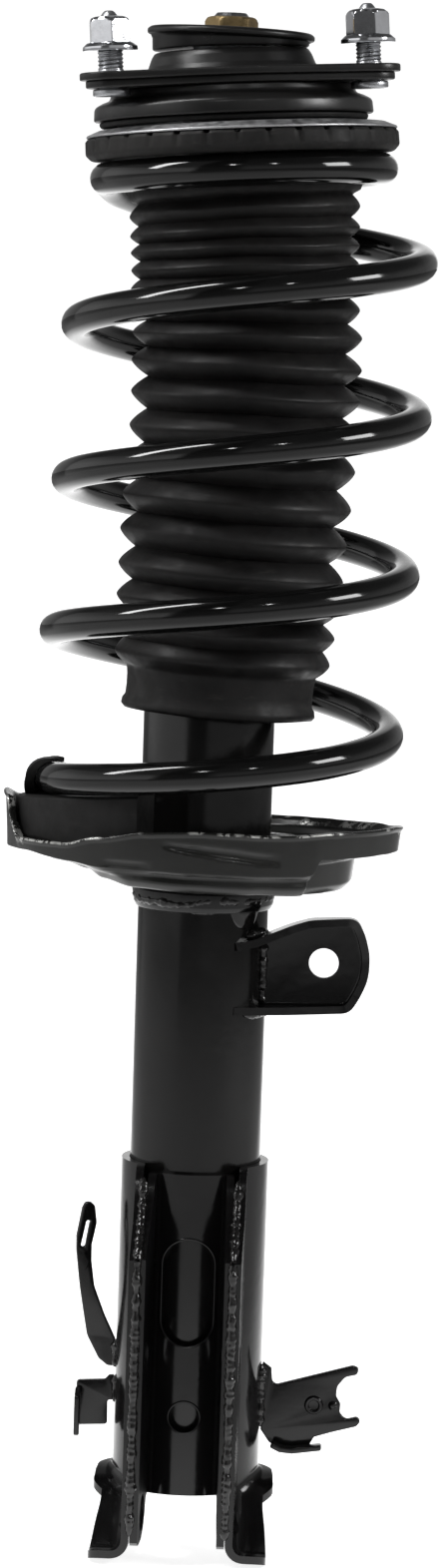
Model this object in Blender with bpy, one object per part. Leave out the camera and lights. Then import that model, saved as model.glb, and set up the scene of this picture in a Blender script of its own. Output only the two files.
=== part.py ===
"""MacPherson strut: damper, coil spring, turning top mount and welded brackets.

Frame: +Z runs up the damper axis, the origin is the centre of the closed bottom
of the damper tube, the slot of the knuckle bracket opens toward -Y and the
stabiliser link bracket is on the +X side.  Lengths are written in millimetres
times MM, so every coordinate in the scene is in metres.
"""
import math

import bmesh
import bpy
from mathutils import Matrix, Vector

MM = 0.001
GAP = 0.3                 # clearance between touching pieces

# damper
TUBE_R = 25.5
TUBE_BORE = 23.0
TUBE_TOP = 343.0
CYL_R = 17.5
CYL_BORE = 15.9
ROD_R = 11.0
ROD_STUD_R = 7.0
ROD_SHOULDER = 545.0
ROD_TOP = 575.0

# top mount: everything here turns about the steering axis
STEER_PIVOT = (0.6, 0.0, 556.0)
STEER_TILT = 3.9          # degrees the mount leans, right side up
PLATE_TOP = -3.6          # heights along the steering axis from the pivot
PLATE_STEP = -6.6
PLATE_LOW = -9.6
STUD_CIRCLE_R = 56.9
STUD_ANGLES = (-141.5, -21.5, 98.5)
STUD_R = 4.9
STUD_LOBE_R = 12.0
SEAT_ECCENTRIC = 2.9      # spring centre line stands this far off the bearing's

# coil spring
WIRE_R = 6.2
SPRING_R = 66.7
SPRING_END_R = 53.3
SPRING_START = 166.0      # degrees, measured from +X
SPRING_STOP = 1885.0
END_COIL_HEIGHT = -42.5   # along the steering axis
SPRING_HEIGHTS = (        # angle from +X in degrees, height of the wire's centre
    (0, 273.0), (180, 277.9), (360, 298.3), (540, 334.9), (720, 360.6), (900, 393.9),
    (1080, 421.8), (1260, 453.7), (1440, 481.5), (1600, 506.5), (1620, 508.6))
SPRING_BOW = ((270, 1.5), (290, 2.5), (350, 6.6), (410, 9.2), (470, 10.6), (515, 6.0))

# lower spring seat: plan radii, rim height and underside height round the seat
SEAT_A = 76.4
SEAT_B = 65.0
SEAT_LEFT = 2.0           # extra reach of the tall wall on the -X side
SEAT_SHEET = 2.4
SEAT_RIM = ((0, 262.0), (45, 260.5), (90, 260.0), (135, 263.0), (160, 268.0), (180, 272.4),
            (191, 269.0), (202, 257.0), (222, 257.0), (238, 262.0), (262, 265.0), (315, 264.0))
SEAT_UNDER = ((0, 250.0), (90, 250.0), (180, 249.6), (222, 246.0), (246, 241.5),
              (280, 241.0), (308, 240.4), (322, 250.0))

# bellows boot
BOOT_R = 44.2
BOOT_VALLEY = 40.0
BOOT_WALL_R = 37.4
BOOT_BOW = ((300, 3.0), (333, 4.8), (365, 6.8), (397, 8.5), (440, 9.8), (510, 7.5))

# knuckle bracket and its inner reinforcement
OUTER_X = 21.5
SHEET = 3.0
WRAP_R = TUBE_R + GAP
FLANGE_SIDE = ((30, 130), (-29, 130), (-33, 122), (-40, 110), (-58, 100), (-59.5, 60),
               (-59.5, -14.5), (-47, -16.8), (-30, -9.5), (-8, 1.5), (2, 3.6), (30, 4))
RIM_SIDE = ((5.0, 4.8), (2.0, 5.4), (-4.0, 4.4), (-9.5, 2.6), (-31.0, -8.0), (-47.5, -15.2),
            (-59.5, -13.4), (-59.5, -17.4), (-47.0, -19.0), (-30.0, -11.0), (-8.0, -0.6),
            (-3.0, 1.2), (2.0, 2.2), (5.0, 2.0))
RIM_X = 33.6
BOLT_R = 7.2
BOLT_HOLES = ((-40.0, -3.0), (-42.0, 57.0))
OVAL_WINDOW = (81.4, 20.0, 42.0)
ROUND_WINDOW = (32.5, 12.0)


def material(name, colour, metallic, roughness):
    mat = bpy.data.materials.new(name)
    mat.use_nodes = True
    shader = mat.node_tree.nodes["Principled BSDF"]
    shader.inputs["Base Color"].default_value = (*colour, 1.0)
    shader.inputs["Metallic"].default_value = metallic
    shader.inputs["Roughness"].default_value = roughness
    mat.diffuse_color = (*colour, 1.0)
    return mat


def between(stations, x):
    """Smooth curve through (x, value) stations, level with its ends outside them."""
    if x <= stations[0][0]:
        return stations[0][1]
    for i in range(len(stations) - 1):
        (x0, y0), (x1, y1) = stations[i], stations[i + 1]
        if x <= x1:
            xa, ya = stations[max(i - 1, 0)]
            xb, yb = stations[min(i + 2, len(stations) - 1)]
            m0 = (y1 - ya) / (x1 - xa) * (x1 - x0)
            m1 = (yb - y0) / (xb - x0) * (x1 - x0)
            t = (x - x0) / (x1 - x0)
            return ((2 * t**3 - 3 * t**2 + 1) * y0 + (t**3 - 2 * t**2 + t) * m0
                    + (3 * t**2 - 2 * t**3) * y1 + (t**3 - t**2) * m1)
    return stations[-1][1]


def around(stations, degrees):
    """Straight runs between stations given round a full turn."""
    a = degrees % 360
    ring = list(stations) + [(stations[0][0] + 360, stations[0][1])]
    for (a0, v0), (a1, v1) in zip(ring, ring[1:]):
        if a0 <= a <= a1:
            t = (a - a0) / (a1 - a0)
            return v0 + (v1 - v0) * t * t * (3 - 2 * t)
    return stations[0][1]


def add_object(name, bm, mat, place=None):
    """Turn a bmesh in millimetres into a smooth shaded object in metres."""
    bmesh.ops.scale(bm, vec=(MM, MM, MM), verts=bm.verts)
    bmesh.ops.recalc_face_normals(bm, faces=bm.faces)
    mesh = bpy.data.meshes.new(name)
    bm.to_mesh(mesh)
    bm.free()
    mesh.shade_smooth()
    mesh.set_sharp_from_angle(angle=math.radians(35))
    obj = bpy.data.objects.new(name, mesh)
    bpy.context.collection.objects.link(obj)
    if mat:
        mesh.materials.append(mat)
    if place:
        obj.matrix_world = place
    return obj


def ring(name, section, mat, steps=48, place=None):
    """Closed section (radius, height[, offset along X]) carried round Z.

    section is a list of points, or a function of the angle in degrees.
    """
    bm = bmesh.new()
    rows = []
    for k in range(steps):
        deg = 360.0 * k / steps
        a = math.radians(deg)
        points = section(deg) if callable(section) else section
        rows.append([bm.verts.new(((p[2] if len(p) > 2 else 0.0) + p[0] * math.cos(a),
                                   p[0] * math.sin(a), p[1])) for p in points])
    for k in range(steps):
        one, two = rows[k], rows[(k + 1) % steps]
        for i in range(len(one)):
            j = (i + 1) % len(one)
            bm.faces.new((one[i], two[i], two[j], one[j]))
    return add_object(name, bm, mat, place)


def solid_turned(name, profile, mat, steps=48, place=None):
    """Profile of (radius, height) whose first and last points lie on the axis."""
    bm = bmesh.new()
    first = bm.verts.new((0, 0, profile[0][1]))
    last = bm.verts.new((0, 0, profile[-1][1]))
    rows = []
    for k in range(steps):
        a = 2 * math.pi * k / steps
        rows.append([bm.verts.new((r * math.cos(a), r * math.sin(a), z)) for r, z in profile[1:-1]])
    for k in range(steps):
        one, two = rows[k], rows[(k + 1) % steps]
        bm.faces.new((first, two[0], one[0]))
        bm.faces.new((last, one[-1], two[-1]))
        for i in range(len(one) - 1):
            bm.faces.new((one[i], two[i], two[i + 1], one[i + 1]))
    return add_object(name, bm, mat, place)


def prism(name, outline, low, high, mat=None, axis="Z", place=None):
    """Flat outline pushed out along an axis; outline pairs are the other two axes in order."""
    order = {"Z": lambda a, b, c: (a, b, c), "Y": lambda a, b, c: (a, c, b),
             "X": lambda a, b, c: (c, a, b)}[axis]
    bm = bmesh.new()
    base = [bm.verts.new(order(a, b, low)) for a, b in outline]
    face = bm.faces.new(base)
    pushed = bmesh.ops.extrude_face_region(bm, geom=[face])["geom"]
    bmesh.ops.translate(bm, vec=order(0, 0, high - low),
                        verts=[v for v in pushed if isinstance(v, bmesh.types.BMVert)])
    return add_object(name, bm, mat, place)


def combine(obj, other, operation):
    """Boolean other into obj and remove other."""
    mod = obj.modifiers.new(operation, "BOOLEAN")
    mod.solver = "EXACT"
    mod.operation = operation
    mod.object = other
    bpy.context.view_layer.update()
    result = bpy.data.meshes.new_from_object(obj.evaluated_get(bpy.context.evaluated_depsgraph_get()))
    obj.modifiers.clear()
    obj.data = result
    obj.data.shade_smooth()
    obj.data.set_sharp_from_angle(angle=math.radians(35))
    bpy.data.objects.remove(other)
    return obj


def arc(cx, cy, r, start, stop, steps):
    """Points on a circle from start to stop degrees."""
    angles = [math.radians(start + (stop - start) * k / steps) for k in range(steps + 1)]
    return [(cx + r * math.cos(a), cy + r * math.sin(a)) for a in angles]


def hull(points):
    """Convex outline round a set of points."""
    points = sorted(set(points))
    halves = []
    for run in (points, points[::-1]):
        chain = []
        for p in run:
            while len(chain) > 1 and ((chain[-1][0] - chain[-2][0]) * (p[1] - chain[-2][1])
                                      - (chain[-1][1] - chain[-2][1]) * (p[0] - chain[-2][0])) <= 0:
                chain.pop()
            chain.append(p)
        halves += chain[:-1]
    return halves


def seat_radius(degrees):
    t = math.radians(degrees)
    reach = SEAT_LEFT * max(0.0, -math.cos(t)) ** 3
    return reach + 1 / math.sqrt((math.cos(t) / SEAT_A) ** 2 + (math.sin(t) / SEAT_B) ** 2)


for obj in list(bpy.data.objects):
    bpy.data.objects.remove(obj, do_unlink=True)

steel_black = material("gloss_black_paint", (0.012, 0.012, 0.013), 0.2, 0.18)
spring_black = material("spring_paint", (0.014, 0.014, 0.016), 0.2, 0.12)
satin_black = material("satin_black_coat", (0.03, 0.03, 0.032), 0.3, 0.38)
rubber = material("rubber", (0.022, 0.022, 0.023), 0.0, 0.7)
boot_rubber = material("boot_rubber", (0.03, 0.03, 0.031), 0.0, 0.6)
foam = material("bump_foam", (0.09, 0.085, 0.07), 0.0, 0.9)
zinc = material("zinc_plate", (0.5, 0.51, 0.53), 1.0, 0.35)
bright = material("bright_plate", (0.72, 0.72, 0.74), 1.0, 0.12)
yellow_zinc = material("yellow_zinc", (0.42, 0.3, 0.16), 1.0, 0.35)
grey_steel = material("grey_steel", (0.36, 0.37, 0.39), 0.9, 0.42)
rod_chrome = material("rod_chrome", (0.7, 0.7, 0.71), 1.0, 0.08)
bearing_steel = material("bearing_steel", (0.45, 0.46, 0.48), 1.0, 0.25)
cage_plastic = material("cage_plastic", (0.55, 0.5, 0.4), 0.0, 0.5)

# ---- damper body --------------------------------------------------------------
ring("outer_tube", [(TUBE_BORE, 1.0), (TUBE_BORE, TUBE_TOP), (TUBE_R, TUBE_TOP), (TUBE_R, 1.0)],
     steel_black, 44)
solid_turned("base_cup", [(0, 6.5), (16, 6.5), (19.5, 10), (22.7, 10), (22.7, 3.2), (13.2, 0), (0, 0)],
             steel_black, 28)
solid_turned("foot_valve", [(0, 17), (9, 17), (9, 14.5), (CYL_BORE - GAP, 14.5),
                            (CYL_BORE - GAP, 12.2), (19.0, 12.2), (19.0, 10.4), (0, 10.4)],
             bearing_steel, 20)
ring("inner_cylinder", [(CYL_BORE, 12.5), (CYL_BORE, 322), (CYL_R, 322), (CYL_R, 12.5)],
     bearing_steel, 20)
ring("rod_guide", [(ROD_R + GAP, 317), (ROD_R + GAP, 335), (22.7, 335), (22.7, 322.3),
                   (CYL_BORE - GAP, 322.3), (CYL_BORE - GAP, 317)], bearing_steel, 20)
ring("rod_seal", [(ROD_R + GAP, 335.3), (ROD_R + GAP, 342), (20, 342), (22.6, 339), (22.6, 335.3)],
     rubber, 20)
ring("tube_cap", [(13.0, 343.6), (13.0, 346), (25.5, 346), (27.8, 344), (27.8, 333),
                  (TUBE_R + GAP, 333), (TUBE_R + GAP, 343.6)], satin_black, 28)

# ---- rod and what is clamped to it --------------------------------------------
solid_turned("piston_rod", [(0, ROD_TOP), (ROD_STUD_R - 1.2, ROD_TOP), (ROD_STUD_R, ROD_TOP - 1.4),
                            (ROD_STUD_R, ROD_SHOULDER), (ROD_R, ROD_SHOULDER), (ROD_R, 287),
                            (6.0, 287), (6.0, 257), (0, 257)], rod_chrome, 24)
ring("piston", [(6.3, 268.3), (6.3, 286.6), (CYL_BORE - GAP, 286.6), (CYL_BORE - GAP, 268.3)],
     bearing_steel, 20)
ring("piston_nut", [(7.3, 259), (7.3, 268), (11, 268), (11, 259)], zinc, 6)
ring("rebound_stop", [(ROD_R + GAP, 292), (ROD_R + GAP, 316), (14.6, 316), (14.6, 292)], rubber, 20)


def bump_section():
    """Foam stop with three lobes: bore upward, outside downward."""
    low, high, lobes = 447.0, 512.0, 3
    outside = []
    for k in range(lobes * 4 + 1):
        t = k / (lobes * 4)
        swell = abs(math.sin(math.pi * lobes * t)) ** 0.6
        outside.append((17.5 + 6.0 * swell, high - (high - low) * t))
    return [(ROD_R + 0.6, low), (ROD_R + 0.6, high)] + outside


ring("bump_stop", bump_section(), foam, 20)


def boot_section():
    """Bellows: fine pleats at the top, coarse ones below, smooth collar at the foot."""
    crests = [504.0 - 7.2 * k for k in range(6)] + [456.5 - 12.5 * k for k in range(12)]
    outside = [(37.6, 514.5), (41.0, 514.0), (41.5, 509.0)]
    for upper, lower in zip(crests, crests[1:] + [crests[-1] - 5.0]):
        outside += [(BOOT_R, upper), (BOOT_VALLEY, (upper + lower) / 2)]
    outside += [(36.6, 314.5), (36.4, 307.5), (37.4, 305.0), (34.6, 304.6)]
    inside = [(34.2, 313.0)]
    inside += [(BOOT_WALL_R, z) for z in (324.0, 365.0, 397.0, 440.0, 475.0, 505.0)]
    return [(r, z, between(BOOT_BOW, z)) for r, z in outside + inside]


ring("dust_boot", boot_section(), boot_rubber, 26)

# ---- top mount, in the steering axis's own frame ---------------------------------
steer = (Matrix.Translation(Vector(STEER_PIVOT) * MM)
         @ Matrix.Rotation(math.radians(-STEER_TILT), 4, "Y"))
steer_axis = bpy.data.objects.new("steer_axis", None)
bpy.context.collection.objects.link(steer_axis)
steer_axis.matrix_world = steer
stud_places = [(STUD_CIRCLE_R * math.cos(math.radians(a)), STUD_CIRCLE_R * math.sin(math.radians(a)))
               for a in STUD_ANGLES]


def plate_outline(inset):
    rim = arc(0, 0, 50.0 - inset, 0, 360, 54)[:-1]
    for x, y in stud_places:
        rim += arc(x, y, STUD_LOBE_R - inset, 0, 360, 28)[:-1]
    return hull(rim)


mount_plate = prism("mount_plate", plate_outline(0.0), PLATE_STEP, PLATE_TOP, satin_black, place=steer)
combine(mount_plate, prism("lip", plate_outline(2.2), PLATE_LOW, PLATE_STEP + 0.5, place=steer), "UNION")
combine(mount_plate, solid_turned("dome", [(0, 4.6), (28.2, 4.6), (29.7, 3.2), (30.8, -1.0),
                                           (32.5, -3.0), (32.5, -7.0), (0, -7.0)],
                                  None, 44, steer), "UNION")
combine(mount_plate, solid_turned("bore", [(0, 9), (24.3, 9), (24.3, -14), (0, -14)], None, 36, steer),
        "DIFFERENCE")
for stud_x, stud_y in stud_places:
    hole = prism("hole", arc(stud_x, stud_y, STUD_R + GAP + 0.1, 0, 360, 20)[:-1], -14, 2, place=steer)
    combine(mount_plate, hole, "DIFFERENCE")

ring("rubber_bush", [(16.6, -12.0), (16.6, 3.0), (18.5, 3.6), (24.0, 3.6), (24.0, -12.0)],
     rubber, 28, steer)
ring("mount_housing", [(30, -12.6), (30, -9.9), (46.8, -9.9), (47.6, -13.0), (51.0, -14.2), (53.3, -15.6),
                       (54, -17.4), (54, -21.0), (46.2, -21.0), (46.2, -12.6)],
     satin_black, 48, steer)
ring("upper_race", [(34, -15.2), (34, -12.9), (45.7, -12.9), (45.7, -15.2)], bearing_steel, 28, steer)
ring("bearing_seal", [(47.4, -23.4), (47.4, -21.3), (52.2, -21.3), (51.4, -23.4)], rubber, 32, steer)
ring("lower_race", [(34, -20.7), (34, -18.7), (45.5, -18.7), (45.5, -20.7)], bearing_steel, 28, steer)


def cage_section(degrees):
    """Cage band that swells where each of the 12 balls sits."""
    swell = 0.6 * max(0.0, math.cos(math.radians(12 * degrees)))
    return [(36.0, -16.95 - 0.7), (36.0, -16.95 + 0.7), (38.5, -16.35 + swell), (41.5, -16.35 + swell),
            (44.0, -16.95 + 0.7), (44.0, -16.95 - 0.7), (41.5, -17.55 - swell), (38.5, -17.55 - swell)]


ring("ball_cage", cage_section, cage_plastic, 36, steer)

for index, (stud_x, stud_y) in enumerate(stud_places, 1):
    at = steer @ Matrix.Translation(Vector((stud_x, stud_y, 0)) * MM)
    solid_turned(f"stud_{index}", [(0, 19.6), (1.6, 19.4), (3.3, 17.6), (STUD_R, 15.6), (STUD_R, -9.9),
                                   (7.2, -9.9), (7.2, -12.6), (0, -12.6)], zinc, 16, at)
    nut = prism(f"stud_nut_{index}", arc(0, 0, 8.5, 12, 372, 6)[:-1], 5.2, 17.2, bright, place=at)
    combine(nut, solid_turned("round_top", [(0, 17.2), (7.0, 17.2), (8.6, 15.6), (10.6, 5.0),
                                            (10.6, 4.0), (0, 4.0)], None, 24, at), "INTERSECT")
    combine(nut, solid_turned("flange", [(0, 7.4), (8.0, 7.2), (10.5, 6.2), (10.5, 4.4), (0, 4.4)],
                              None, 24, at), "UNION")
    combine(nut, prism("thread", arc(0, 0, STUD_R + GAP, 0, 360, 24)[:-1], 2, 20, place=at), "DIFFERENCE")

# ---- spring seat, insulator and end stop on the rod side of the bearing -------------
E = SEAT_ECCENTRIC
ring("upper_spring_seat", [(16.5, -23.4), (16.5, -21.0), (45.8, -21.0), (46.4, -23.8), (53.5, -24.0, E),
                           (55.5, -24.5, E), (59.9, -26.4, E), (59.9, -27.1, E), (44.6, -27.1, E),
                           (43.4, -23.4)], grey_steel, 48, steer)
ring("upper_insulator", [(41.5, -34.5, E), (41.5, -27.4, E), (59.8, -27.4, E), (60.4, -29.5, E),
                         (60.2, -34.8, E), (58.8, -35.9, E), (44.0, -35.9, E)], rubber, 48, steer)
ring("inner_sleeve", [(ROD_STUD_R + GAP, ROD_SHOULDER + GAP), (ROD_STUD_R + GAP, 562.5),
                      (14.4, 562.5), (14.4, ROD_SHOULDER + GAP)], zinc, 20)
ring("rebound_dish", [(ROD_STUD_R + GAP, 562.8), (ROD_STUD_R + GAP, 564.8), (27.4, 564.8),
                      (28.8, 565.3), (30.7, 565.2), (30.7, 564.0), (29.6, 562.8)], satin_black, 44)
top_nut = prism("top_nut", arc(0, 0, 10.4, 8, 368, 6)[:-1], 565.1, 573.5, yellow_zinc)
combine(top_nut, solid_turned("round_top", [(0, 573.5), (8.8, 573.5), (10.6, 572.2), (10.6, 564), (0, 564)],
                              None, 32), "INTERSECT")
combine(top_nut, prism("thread", arc(0, 0, ROD_STUD_R + GAP, 0, 360, 24)[:-1], 560, 580), "DIFFERENCE")


# ---- coil spring ------------------------------------------------------------------
def wire_centre(degrees):
    """Centre of the wire in millimetres at an angle counted on through every turn."""
    taper = min(max((degrees - 1440.0) / 180.0, 0.0), 1.0)
    radius = SPRING_R + (SPRING_END_R - SPRING_R) * taper * taper * (3 - 2 * taper)
    a = math.radians(degrees)
    z = between(SPRING_HEIGHTS, degrees)
    x = between(SPRING_BOW, z) + radius * math.cos(a)
    flat = (STEER_PIVOT[2] + (END_COIL_HEIGHT + math.sin(math.radians(STEER_TILT)) * (x - STEER_PIVOT[0]))
            / math.cos(math.radians(STEER_TILT)))
    if degrees > 1600:
        blend = min((degrees - 1600.0) / 20.0, 1.0)
        z += (flat - z) * blend
    return Vector((x, radius * math.sin(a), min(z, flat)))


def coil(name, start, stop, wire_r, sides, per_turn, mat):
    steps = round((stop - start) / 360 * per_turn)
    bm = bmesh.new()
    rows = []
    for k in range(steps + 1):
        deg = start + (stop - start) * k / steps
        centre = wire_centre(deg)
        along = (wire_centre(deg + 1) - wire_centre(deg - 1)).normalized()
        out = Vector((math.cos(math.radians(deg)), math.sin(math.radians(deg)), 0))
        side = (out - along * out.dot(along)).normalized()
        up = along.cross(side)
        rows.append([bm.verts.new(centre + (side * math.cos(b) + up * math.sin(b)) * wire_r)
                     for b in (2 * math.pi * i / sides for i in range(sides))])
    for one, two in zip(rows, rows[1:]):
        for i in range(sides):
            j = (i + 1) % sides
            bm.faces.new((one[i], one[j], two[j], two[i]))
    bm.faces.new(rows[0])
    bm.faces.new(rows[-1])
    return add_object(name, bm, mat)


coil("coil_spring", SPRING_START, SPRING_STOP, WIRE_R, 8, 20, spring_black)


# ---- lower spring seat and its rubber -------------------------------------------------
def seat_section(degrees):
    """Stamped dish: neck round the tube, floor, then the wall up to the rim."""
    r = seat_radius(degrees)
    rim, low, t = around(SEAT_RIM, degrees), around(SEAT_UNDER, degrees), SEAT_SHEET
    under = [(WRAP_R, 237.4), (32.0, 238.0), (r * 0.62, low + 0.6), (r - 9.0, low), (r - 3.2, low + 2.2),
             (r - 0.8, low + 5.0), (r, rim - 2.6), (r + 0.9, rim - 0.6), (r + 0.2, rim)]
    top = [(r - t, rim - 0.6), (r - t - 1.2, low + t + 4.2), (r - t - 3.4, low + t + 1.0), (r - 9.5, low + t),
           (r * 0.62, low + 0.6 + t), (31.2, 238.0 + t), (WRAP_R, 237.4 + t)]
    return under + top


ring("lower_spring_seat", seat_section, steel_black, 60)
ring("seat_collar", [(WRAP_R, 229.0), (WRAP_R, 237.0), (28.6, 237.0), (28.0, 231.0), (26.8, 229.0)],
     steel_black, 28)


def rubber_pad(name, stop_angles, pad_angles, mat):
    """Pad in the seat's groove below the first part of the coil, with a raised end stop."""
    bm = bmesh.new()
    rows = []
    first, last = stop_angles[0], stop_angles[-1] + 0.6
    for deg in stop_angles + pad_angles:
        a = math.radians(deg)
        r = seat_radius(deg)
        low = around(SEAT_UNDER, deg) + SEAT_SHEET + 2 * GAP
        top = between(SPRING_HEIGHTS, max(deg, SPRING_START)) - WIRE_R - 0.6 - max(deg - 205, 0) * 0.16
        if deg < last:
            top += 11.0 * math.sin(math.pi * (deg - first) / (last - first)) ** 0.4
        section = ((r - 18, low), (r - 11.0, low), (r - 7.4, low + 4.4), (r - 5.8, low + 8.0),
                   (r - 5.8, top), (r - 18, top))
        rows.append([bm.verts.new((q * math.cos(a), q * math.sin(a), z)) for q, z in section])
    for one, two in zip(rows, rows[1:]):
        for i in range(len(one)):
            j = (i + 1) % len(one)
            bm.faces.new((one[i], one[j], two[j], two[i]))
    bm.faces.new(rows[0])
    bm.faces.new(rows[-1])
    return add_object(name, bm, mat)


rubber_pad("lower_insulator", [153.6 + 1.8 * k for k in range(6)],
           [164.0 + 86.0 * k / 14 for k in range(15)], rubber)


# ---- knuckle bracket --------------------------------------------------------------------
def u_outline(outer_x, wrap_r, front_y):
    """Sheet that runs forward from the tube as two flanges, round the tube's back."""
    inner_x = outer_x - SHEET
    far_r = wrap_r + SHEET
    start_out = -math.degrees(math.acos(outer_x / far_r))
    start_in = -math.degrees(math.acos(inner_x / wrap_r))
    outside = [(outer_x, front_y)] + arc(0, 0, far_r, start_out, 180 - start_out, 28)
    outside += [(-outer_x, front_y)]
    inside = [(-inner_x, front_y)] + arc(0, 0, wrap_r, 180 - start_in, start_in, 28)
    return outside + inside + [(inner_x, front_y)]


knuckle = prism("knuckle_bracket", u_outline(OUTER_X, WRAP_R, -66), -34, 134, steel_black)
combine(knuckle, prism("side", FLANGE_SIDE, -50, 50, axis="X"), "INTERSECT")
for sign in (-1, 1):
    low, high = sorted((sign * (OUTER_X - 1.2), sign * RIM_X))
    rim = prism("rim", RIM_SIDE, low, high, axis="X")
    tube_room = WRAP_R + SHEET / 2
    combine(rim, solid_turned("room", [(0, 60), (tube_room, 60), (tube_room, -60), (0, -60)], None, 64),
            "DIFFERENCE")
    combine(knuckle, rim, "UNION")

INNER_X = OUTER_X - SHEET - GAP
web_r = WRAP_R + SHEET
edge_out = math.degrees(math.asin(INNER_X / WRAP_R))
edge_in = math.degrees(math.asin((INNER_X - SHEET - 2.7) / web_r))
leg_x = INNER_X - SHEET
inner_outline = ([(INNER_X, -66)] + arc(0, 0, WRAP_R, -90 + edge_out, -90 - edge_out, 16)
                 + [(-INNER_X, -66), (-leg_x, -66), (-leg_x, -27.6), (-leg_x + 0.9, -26.6)]
                 + arc(0, 0, web_r, -90 - edge_in, -90 + edge_in, 14)
                 + [(leg_x - 0.9, -26.6), (leg_x, -27.6), (leg_x, -66)])
inner = prism("bracket_reinforcement", inner_outline, -34, 128, steel_black)
inner_side = [(y + 1.0 if y < -31 else y, z + (4.0 if z < 0 else 0)) for y, z in FLANGE_SIDE]
combine(inner, prism("side", inner_side, -50, 50, axis="X"), "INTERSECT")
web_foot = prism("web_foot", ((-29.5, -20), (-20, -20), (-20, 1.5), (-29.5, 1.5)), -leg_x - GAP, leg_x + GAP,
                 axis="X")
combine(inner, web_foot, "DIFFERENCE")
window_z, window_w, window_h = OVAL_WINDOW
half_w, reach = window_w / 2, (window_h - window_w) / 2
oval = (arc(0, window_z + reach, half_w, 0, 180, 16) + arc(0, window_z - reach, half_w, 180, 360, 16))
combine(inner, prism("oval", oval, -40, -15, axis="Y"), "DIFFERENCE")
hole_z, hole_d = ROUND_WINDOW
combine(inner, prism("round", arc(0, hole_z, hole_d / 2, 0, 360, 24)[:-1], -40, -15, axis="Y"), "DIFFERENCE")
for hole_y, hole_z in BOLT_HOLES:
    for sheet in (knuckle, inner):
        bolt = prism("bolt", arc(hole_y, hole_z, BOLT_R, 0, 360, 28)[:-1], -30, 30, axis="X")
        combine(sheet, bolt, "DIFFERENCE")

# ---- stabiliser link bracket ---------------------------------------------------------------
link_web = [(22, 220.8), (39.2, 226.2), (60.7, 227.3), (64.6, 223.0), (65.8, 214.9), (65, 205), (62.5, 196.0),
            (60.5, 192.5), (56.0, 190.6), (22, 190.3)]
link_top = [(12, 217.6), (22, 220.8), (39.2, 226.2), (58, 227.2), (58, 224.3), (39.5, 223.2), (22.6, 217.8),
            (12, 214.6)]
link_low = [(12, 190.3), (56, 190.6), (56, 193.5), (12, 193.2)]
link = prism("link_bracket", link_web, -8.0, -5.0, steel_black, axis="Y")
for lip in (link_top, link_low):
    combine(link, prism("lip", lip, -19.0, -5.0, axis="Y"), "UNION")
combine(link, solid_turned("tube", [(0, 240), (WRAP_R, 240), (WRAP_R, 170), (0, 170)], None, 80),
        "DIFFERENCE")
combine(link, prism("hole", arc(48, 209.6, 5.8, 0, 360, 24)[:-1], -12, 0, axis="Y"), "DIFFERENCE")

# ---- hose fork, wire arm and wire foot -------------------------------------------------------
ROOT_X = WRAP_R + SHEET + GAP + 0.1
fork = ([(ROOT_X, 24.0), (33.0, 18.5), (40.9, 15.0), (48.0, 15.6), (50.5, 19.4), (57.5, 22.6), (64.6, 25.0)]
        + arc(66.2, 27.1, 2.2, -70, 80, 6) + arc(63.5, 38.0, 8.0, 262, 98, 14)
        + arc(65.2, 48.6, 2.2, -80, 95, 6)
        + [(58.0, 49.6), (51.0, 48.4), (43.5, 46.2), (38.0, 45.0), (34.0, 49.0), (31.5, 50.2), (ROOT_X, 50.0)])
prism("hose_bracket", fork, -1.6, 1.4, steel_black, axis="Y")
arm = [(-ROOT_X, 59.0), (-32.8, 65.0), (-35.4, 78.0), (-36.2, 88.0), (-37.4, 95.0), (-37.9, 104.0), (-39.2, 109.6),
       (-40.8, 110.7), (-42.6, 109.6), (-45.4, 102.0), (-45.9, 97.0), (-44.4, 91.0), (-43.2, 80.0), (-42.8, 66.0),
       (-41.6, 57.0), (-37.6, 50.0), (-33.0, 47.2), (-ROOT_X, 47.0)]
wire_arm = prism("wire_arm", arm, -1.4, 1.2, steel_black, axis="Y")
slot = arc(-41.4, 101.5, 1.4, 0, 180, 8) + arc(-41.4, 95.5, 1.4, 180, 360, 8)
combine(wire_arm, prism("slot", slot, -4, 4, axis="Y"), "DIFFERENCE")
foot = [(-ROOT_X, 24.5), (-40.4, 22.6), (-40.9, 18.2), (-43.4, 18.2), (-43.4, 39.4), (-36.4, 40.4), (-32.4, 45.4),
        (-ROOT_X, 45.4)]
prism("wire_foot", foot, -1.4, 1.2, steel_black, axis="Y")

# the turning pieces hang on the steering axis
bpy.context.view_layer.update()
turning = ["mount_plate", "rubber_bush", "mount_housing", "upper_race", "bearing_seal"]
turning += [f"{kind}_{k}" for k in (1, 2, 3) for kind in ("stud", "stud_nut")]
for piece in turning:
    child = bpy.data.objects[piece]
    world = child.matrix_world.copy()
    child.parent = steer_axis
    child.matrix_world = world
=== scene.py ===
"""Looks of the strut assembly: fine meshes, materials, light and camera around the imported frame."""

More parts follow.
